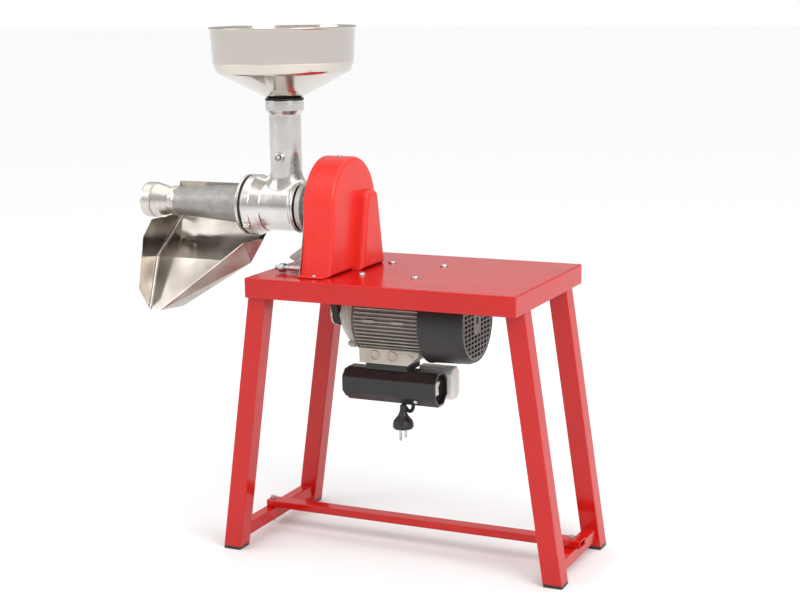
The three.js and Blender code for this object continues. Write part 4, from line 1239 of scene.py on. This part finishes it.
def build_neck_screw(screw):
    """Grub screw with a hexagon socket and its lock ring, in the neck's boss."""
    low, high = extent("neck_screw")
    at = (screw.x, screw.z)
    head = turned("neck_screw_head", rounded([
        (0, 0), (4.2, 0, 0.6), (5.0, 1.2, 0.5), (5.0, 5.0, 0.2), (3.0, 5.0), (3.0, high.y - low.y), (0, high.y - low.y),
    ], 0.2, 3), "y", at, low.y, 40)
    cut(head, hexagon("socket", "y", 4.6, low.y - 1, low.y + 3, at))
    piece(head, "stand", ZINC, "steel", "neck_screw")


def build_hopper():
    """Spun stainless bowl with a rolled rim, a shallow cone and a short spigot."""
    low, high = extent("hopper")
    wall = 1.2
    height = high.z - low.z
    outer = rounded([
        (23.9, 0, 0), (23.9, 20.4, 0.8), (30, 22.2, 2.5), (105, 61, 10), (110.6, 76, 10), (113.2, height - 3.6, 1.0),
        (115.4, height - 2.6, 1.0), (115.4, height - 0.6, 0.8), (113.8, height, 0.8), (112.2, height - 0.8, 0.5),
    ], 1.0, 6)
    inner = rounded([
        (112.0, height - 4.0, 0.5), (109.4, 76.4, 9), (104.2, 62.2, 9), (29.4, 23.5, 2.5), (22.7, 20.6, 0.8),
        (22.7, 0, 0),
    ], 1.0, 6)
    bowl = turned("hopper_bowl", outer + inner, "z", (NECK.x, NECK.y), low.z, 160)
    piece(bowl, "hopper_unit", SPUN, "stainless", "hopper")
    seal_low, seal_high = extent("hopper_seal")
    seal = turned("hopper_ring", rounded([
        (24.4, 0.1), (30.4, 0.1), (30.4, 2.6), (24.4, 2.2)], 0.4, 3),
        "z", (NECK.x, NECK.y), seal_low.z, 96)
    piece(seal, "hopper_unit", RUBBER, "rubber", "hopper_seal")


# ---------------------------------------------------------------- auger, strainer and chute


def build_auger():
    """Cast auger: a tapering core and one helical flight with rounded edges."""
    low, high = extent("auger")
    at = (PRESS.y, PRESS.z)
    length = high.x - low.x
    core = turned("auger_casting", rounded([
        (0, 0, 0), (7, 0, 1.5), (9, 9, 3), (10.5, 35, 8), (9.5, length - 22, 3), (16, length - 14, 2),
        (16, length, 1), (0, length, 0),
    ], 0.5, 4), "x", at, low.x, 64)
    turns, steps, widest = 5, 240, 29.5
    start, run = length - 6, length - 21
    cone_low, cone_high = extent("strainer_cone")
    taper = 9.5 / (cone_high.x - cone_low.x)
    rings = []
    for k in range(steps + 1):
        t = k / steps
        along = start - run * t
        tip = min(widest, widest + (low.x + along - cone_high.x) * taper)
        ease = min(1.0, 12 * t, 12 * (1 - t))
        tip = 8 + (tip - 8) * math.sin(ease * TURN / 4)
        angle = TURN * turns * t
        ring = []
        for radius, offset in ((6, -3.2), (13, -2.2), (tip - 0.8, -1.2), (tip, -0.4),
                               (tip, 0.4), (tip - 0.8, 1.2), (13, 2.2), (6, 3.2)):
            radius = min(radius, tip)
            ring.append(place("x", PRESS.y + radius * math.cos(angle),
                              PRESS.z + radius * math.sin(angle), low.x + along + offset))
        rings.append(ring)
    unite(core, loft("flight", rings))
    cut(core, rod("socket", "x", 10.3, high.x - 16, high.x + 2, at, 0, 40))
    piece(core, "auger_drive", CASTING, "cast_aluminium", "auger")


def perforated_cone(name, start, end, start_radius, end_radius, wall, around, rows):
    """Cone wall punched with staggered round holes; every hole is an octagon in its own cell."""
    points, faces = [], []
    slope = (end_radius - start_radius) / (end - start)
    hole = 0.36

    def point(row, turn, depth):
        along = start + (end - start) * row / rows
        radius = start_radius + slope * (along - start) - depth
        angle = TURN * turn / around
        points.append(place("x", PRESS.y + radius * math.cos(angle), PRESS.z + radius * math.sin(angle), along))
        return len(points) - 1

    def cell(row, turn):
        shift = 0.5 * (row % 2)
        rim = [(0, 0), (0, 0.5), (0, 1), (0.5, 1), (1, 1), (1, 0.5), (1, 0), (0.5, 0)]
        outer = {}
        for depth in (0, wall):
            frame_ring = [point(row + a, turn + b + shift, depth) for a, b in rim]
            hole_ring = []
            for a, b in rim:
                direction = Vector((a - 0.5, b - 0.5)).normalized() * hole
                hole_ring.append(point(row + 0.5 + direction.x, turn + 0.5 + shift + direction.y, depth))
            outer[depth] = hole_ring
            for k in range(8):
                nxt = (k + 1) % 8
                faces.append((frame_ring[k], frame_ring[nxt], hole_ring[nxt], hole_ring[k]))
        for k in range(8):
            nxt = (k + 1) % 8
            faces.append((outer[0][k], outer[0][nxt], outer[wall][nxt], outer[wall][k]))

    for row in range(rows):
        for turn in range(around):
            cell(row, turn)
    for row in (0, rows):
        shift = 0.0
        for turn in range(around * 2):
            a, b = turn / 2 + shift, (turn + 1) / 2 + shift
            faces.append((point(row, a, 0), point(row, b, 0), point(row, b, wall), point(row, a, wall)))
    return new_object(name, points, faces)


def build_strainer():
    """Perforated cone with plain bands at both ends, its seating flange and the mouth gasket."""
    low, high = extent("strainer_cone")
    at = (PRESS.y, PRESS.z)
    end_radius = (high.z - low.z) / 2
    start_radius = 22.0
    length = high.x - low.x
    slope = (end_radius - start_radius) / length
    small_band, large_band, wall = 9.0, 3.0, 1.2
    cone = perforated_cone(
        "strainer_mesh", low.x + small_band, high.x - large_band, start_radius + slope * small_band,
        end_radius - slope * large_band, wall, 44, 33)
    piece(cone, "strainer_unit", PUNCHED, "stainless", "strainer_cone", sharp=50)
    band = turned("strainer_small_band", rounded([
        (21.4, 0), (24.4, 0, 0.6), (24.4, small_band - 1.5, 0.8), (start_radius + slope * small_band + 0.1, small_band + 0.3, 0.3),
        (start_radius + slope * small_band - wall - 0.1, small_band + 0.3, 0.3),
    ], 0.3, 3), "x", at, low.x, 96)
    rivet = rod("rivet", "y", 3.2, PRESS.y - 26.0, PRESS.y - 20, (low.x + 5.0, PRESS.z - 1), 1.2, 32)
    unite(band, rivet)
    piece(band, "strainer_unit", LATHE, "stainless")
    large = turned("strainer_large_band", [
        (end_radius - slope * large_band + 0.1, length - large_band - 0.3), (end_radius + 0.1, length),
        (end_radius - wall - 0.1, length), (end_radius - slope * large_band - wall - 0.1, length - large_band - 0.3),
    ], "x", at, low.x, 96)
    piece(large, "strainer_unit", LATHE, "stainless")
    build_strainer_seat()


def build_strainer_seat():
    at = (PRESS.y, PRESS.z)
    low = extent("strainer_flange")[0]
    flange = turned("strainer_ring", rounded([
        (31.8, 0, 0.6), (46.8, 0, 0.8), (48, 0.9, 0.8), (48, 5.6, 0.5), (36.8, 5.6, 0.3), (36.8, 14, 0.5),
        (31.8, 14, 0.5),
    ], 0.4, 4), "x", at, low.x, 96)
    piece(flange, "strainer_unit", LATHE, "cast_aluminium", "strainer_flange")
    low, high = extent("mouth_gasket")
    thick = high.x - low.x
    gasket = turned("gasket_ring", rounded([
        (37.6, 1.6), (47.2, 1.6), (47.2, thick), (37.6, thick)], 0.8, 3), "x", at, low.x, 96)
    piece(gasket, "strainer_unit", RUBBER, "rubber", "mouth_gasket")


def build_outlet():
    """Waste outlet: a flared tube that slips over the cone's end, and a plain end ring."""
    at = (PRESS.y, PRESS.z)
    low, high = extent("outlet_tube")
    length = high.x - low.x
    ring_low, ring_high = extent("outlet_ring")
    width = ring_high.x - ring_low.x
    shoulder = ring_high.x - low.x + 0.3
    tube = turned("outlet_cone", rounded([
        (17, 0, 0.4), (22, 0, 0.4), (22, shoulder, 0.3), (28.2, shoulder, 0.5), (27.6, shoulder + 4, 1.5),
        (21.6, length - 6, 2), (20.8, length, 0.3), (17, length, 0.3),
    ], 0.4, 4), "x", at, low.x, 96)
    piece(tube, "strainer_unit", LATHE, "cast_aluminium", "outlet_tube")
    ring = turned("outlet_end", rounded([
        (22.4, 0, 0.4), (26.0, 0, 0.8), (28.6, 1.2, 1.0), (29, 3.5, 0.5), (29, width - 3.0, 0.3), (28.3, width - 2.5, 0.2),
        (28.3, width - 1.8, 0.2), (29, width - 1.3, 0.3), (28.6, width, 0.3), (22.4, width, 0.3),
    ], 0.3, 3), "x", at, ring_low.x, 96)
    piece(ring, "strainer_unit", LATHE, "cast_aluminium", "outlet_ring")


def build_chute():
    """Folded stainless chute: rear wall, two sloping panels and a wall at each side."""
    low, high = extent("juice_chute")
    left = low.x + 0.7
    right = left + 177
    spout_right, rear_right = left + 67, left + 132
    y, sheet = BENCH.y, 1.2
    rear_top, rear, mid, spout, lip = (y + 33, 566), (y + 33, 509), (y - 47, 450), (y - 84, 368), (y - 79.5, 378)
    seam = ((left + 3.6, *rear), (left + 1.2, *mid), (left + 5.7, *spout))
    corners = {
        "top_left": (left, *rear_top), "top_right": (rear_right, *rear_top),
        "rear_left": seam[0], "rear_mid": (rear_right, *rear), "rear_right": (right, *rear),
        "mid_left": seam[1], "mid_right": (right, *mid), "edge": (right, y - 4, 481.7),
        "spout_left": seam[2], "spout_right": (spout_right, *lip),
        "lip_1": (left, y - 103, 405), "lip_2": (left, y - 86, 488), "lip_3": (left, y - 59, 513),
        "lip_4": (left, y + 26, 513), "lip_5": (left, y + 26, 552),
        "wing_top": (left + 183, y - 78, 486), "wing_low": (left + 52, y - 125, 378),
    }
    panels = [
        ("top_left", "rear_left", "rear_mid", "top_right"),
        ("rear_left", "mid_left", "mid_right", "edge", "rear_right", "rear_mid"),
        ("mid_left", "spout_left", "spout_right", "mid_right"),
        ("top_left", "lip_5", "lip_4", "rear_left"),
        ("rear_left", "lip_4", "lip_3", "lip_2", "mid_left"),
        ("mid_left", "lip_2", "lip_1", "spout_left"),
        ("mid_right", "spout_right", "wing_low"),
        ("mid_right", "wing_low", "wing_top"),
        ("mid_right", "wing_top", "edge"),
    ]
    names = list(corners)
    work = bmesh.new()
    verts = [work.verts.new(Vector(corners[name]) * MM) for name in names]
    for panel in panels:
        work.faces.new([verts[names.index(name)] for name in panel])
    folds = [edge for edge in work.edges if len(edge.link_faces) == 2]
    bmesh.ops.bevel(work, geom=folds, offset=2.6 * MM, segments=4, profile=0.5, affect="EDGES",
                    offset_type="OFFSET", clamp_overlap=True)
    bmesh.ops.recalc_face_normals(work, faces=work.faces)
    mesh = bpy.data.meshes.new("chute_sheet")
    work.to_mesh(mesh)
    work.free()
    chute = bpy.data.objects.new("chute_sheet", mesh)
    bpy.context.scene.collection.objects.link(chute)
    thick = chute.modifiers.new("sheet", "SOLIDIFY")
    thick.thickness = sheet * MM
    thick.offset = 0.0
    thick.use_even_offset = True
    bake(chute)
    cut(chute, rod("notch", "x", 28.5, left - 5, left + 5, (PRESS.y, PRESS.z), 0, 64))
    piece(chute, "chute_unit", SHEET, "stainless", "juice_chute")
    build_painted_fold_highlight(seam)


def build_painted_fold_highlight(seam):
    """Bright rod along the fold between the side wall and the sloping panels: a painted highlight standing in for the
    light that the fold's rounding catches.
    """
    proud = Vector((1.4, -1.6, 1.6))
    rear, mid, spout = [Vector(corner) + proud for corner in seam]
    # painted highlight: bright rods set just proud of the fold, where the fold's rounding catches the light
    work = [rod_between("highlight_rod", rear, mid, 1.3), rod_between("highlight_rod", mid, spout, 1.3)]
    piece(gather("painted_fold_highlight", work), "chute_unit", FOLD_HIGHLIGHT_STEEL, "stainless")


# ---------------------------------------------------------------- pieces that keep their CAD shape


def dress(node, material):
    """Gives a CAD node that is shown as it is its finished material."""
    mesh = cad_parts[node].data
    mesh.materials.clear()
    mesh.materials.append(material)


def dress_inner_parts():
    finishes = {
        "stator_core": IRON, "rotor_core": IRON, "motor_shaft": ZINC, "motor_fan": BLACK,
        "motor_bearing_front": ZINC, "motor_bearing_rear": ZINC, "bearing_left": ZINC,
        "bearing_right": ZINC, "guard_back_plate": ZINC,
    }
    for node, material in finishes.items():
        dress(node, material)


# ---------------------------------------------------------------- floor, light and camera


CAMERA_YAW = math.radians(24.99)
CAMERA_PITCH = math.radians(11.01)
CAMERA_ROLL = math.radians(-0.86)


def build_floor():
    """Plain pale floor."""
    size = 30000
    floor = new_object("studio_floor", [(-size, -size, 0), (size, -size, 0), (size, size, 0), (-size, size, 0)],
                       [(0, 1, 2, 3)])
    material, _ = base_material("floor_paper", (0.8, 0.8, 0.8), 0.8)
    floor.data.materials.append(material)


def build_sky():
    """Plain white room, dimmer towards the horizon and below; the camera sees it as a white backdrop."""
    horizon, overhead = 0.5, 0.9
    world = bpy.data.worlds.new("studio")
    bpy.context.scene.world = world
    world.use_nodes = True
    links = world.node_tree.links
    background = world.node_tree.nodes["Background"]
    background.inputs["Color"].default_value = (1.0, 1.0, 1.0, 1.0)
    coordinates = add_node(world, "ShaderNodeTexCoord")
    parts = add_node(world, "ShaderNodeSeparateXYZ", Vector=coordinates.outputs["Generated"])
    room = add_node(world, "ShaderNodeMapRange", Value=parts.outputs["Z"])
    room.inputs["To Min"].default_value = horizon
    room.inputs["To Max"].default_value = overhead
    seen = add_node(world, "ShaderNodeLightPath")
    shown = add_node(world, "ShaderNodeMath", {"operation": "MAXIMUM"})
    links.new(room.outputs["Result"], shown.inputs[0])
    links.new(seen.outputs["Is Camera Ray"], shown.inputs[1])
    links.new(shown.outputs["Value"], background.inputs["Strength"])


def build_camera():
    """Camera at the photograph's place: off the right front corner, a little above the hopper."""
    lens, sensor = 72.58, 36.0
    place_from_bench = Vector((1023.28, -2254.22, 880.44))
    yaw, pitch, roll = CAMERA_YAW, CAMERA_PITCH, CAMERA_ROLL
    back = Vector((math.sin(yaw) * math.cos(pitch), -math.cos(yaw) * math.cos(pitch), math.sin(pitch)))
    right = Vector((math.cos(yaw), math.sin(yaw), 0))
    up = back.cross(right)
    rolled_right = right * math.cos(roll) + up * math.sin(roll)
    rolled_up = up * math.cos(roll) - right * math.sin(roll)
    matrix = Matrix.Identity(4)
    for column, axis in enumerate((rolled_right, rolled_up, back)):
        for row in range(3):
            matrix[row][column] = axis[row]
    spot = Vector((BENCH.x, BENCH.y, 0)) + place_from_bench
    for row in range(3):
        matrix[row][3] = spot[row] * MM
    data = bpy.data.cameras.new("camera")
    data.lens = lens
    data.sensor_width = sensor
    data.clip_end = 50
    camera = bpy.data.objects.new("camera", data)
    camera.matrix_world = matrix
    bpy.context.scene.collection.objects.link(camera)
    bpy.context.scene.camera = camera


def build_lights():
    """Soft boxes at the right and the left, and a very soft light from straight overhead."""
    specs = (  # name, place in metres, watts
        ("key_light", (2.2, -1.2, 2.0), 45.0),
        ("fill_light", (-2.4, -1.4, 1.6), 20.0),
    )
    for name, spot, power in specs:
        data = bpy.data.lights.new(name, "AREA")
        data.size = 1.6
        data.energy = power
        light = bpy.data.objects.new(name, data)
        light.location = spot
        aim = Vector((0, 0, 0.45)) - Vector(spot)
        light.rotation_euler = aim.to_track_quat("-Z", "Y").to_euler()
        bpy.context.scene.collection.objects.link(light)
    data = bpy.data.lights.new("top_light", "SUN")
    data.energy = 1.4
    data.angle = math.radians(90)
    bpy.context.scene.collection.objects.link(bpy.data.objects.new("top_light", data))


def main():
    build_bench_sheet()
    build_legs()
    build_rungs()
    build_rail_bolts()
    build_motor_bolts()
    build_motor_shell()
    build_motor_shields()
    build_fan_cover()
    build_motor_pulley()
    build_terminal_base()
    build_starter()
    build_rocker()
    build_capacitor()
    build_cable_and_plug()
    build_large_pulley()
    build_shaft_and_nut()
    build_belt()
    build_bracket()
    build_guard_stud()
    build_guard()
    build_press_body()
    build_hopper()
    build_auger()
    build_strainer()
    build_outlet()
    build_chute()
    dress_inner_parts()
    build_floor()
    build_sky()
    build_lights()
    build_camera()
    bpy.context.scene.view_settings.view_transform = "Standard"


main()
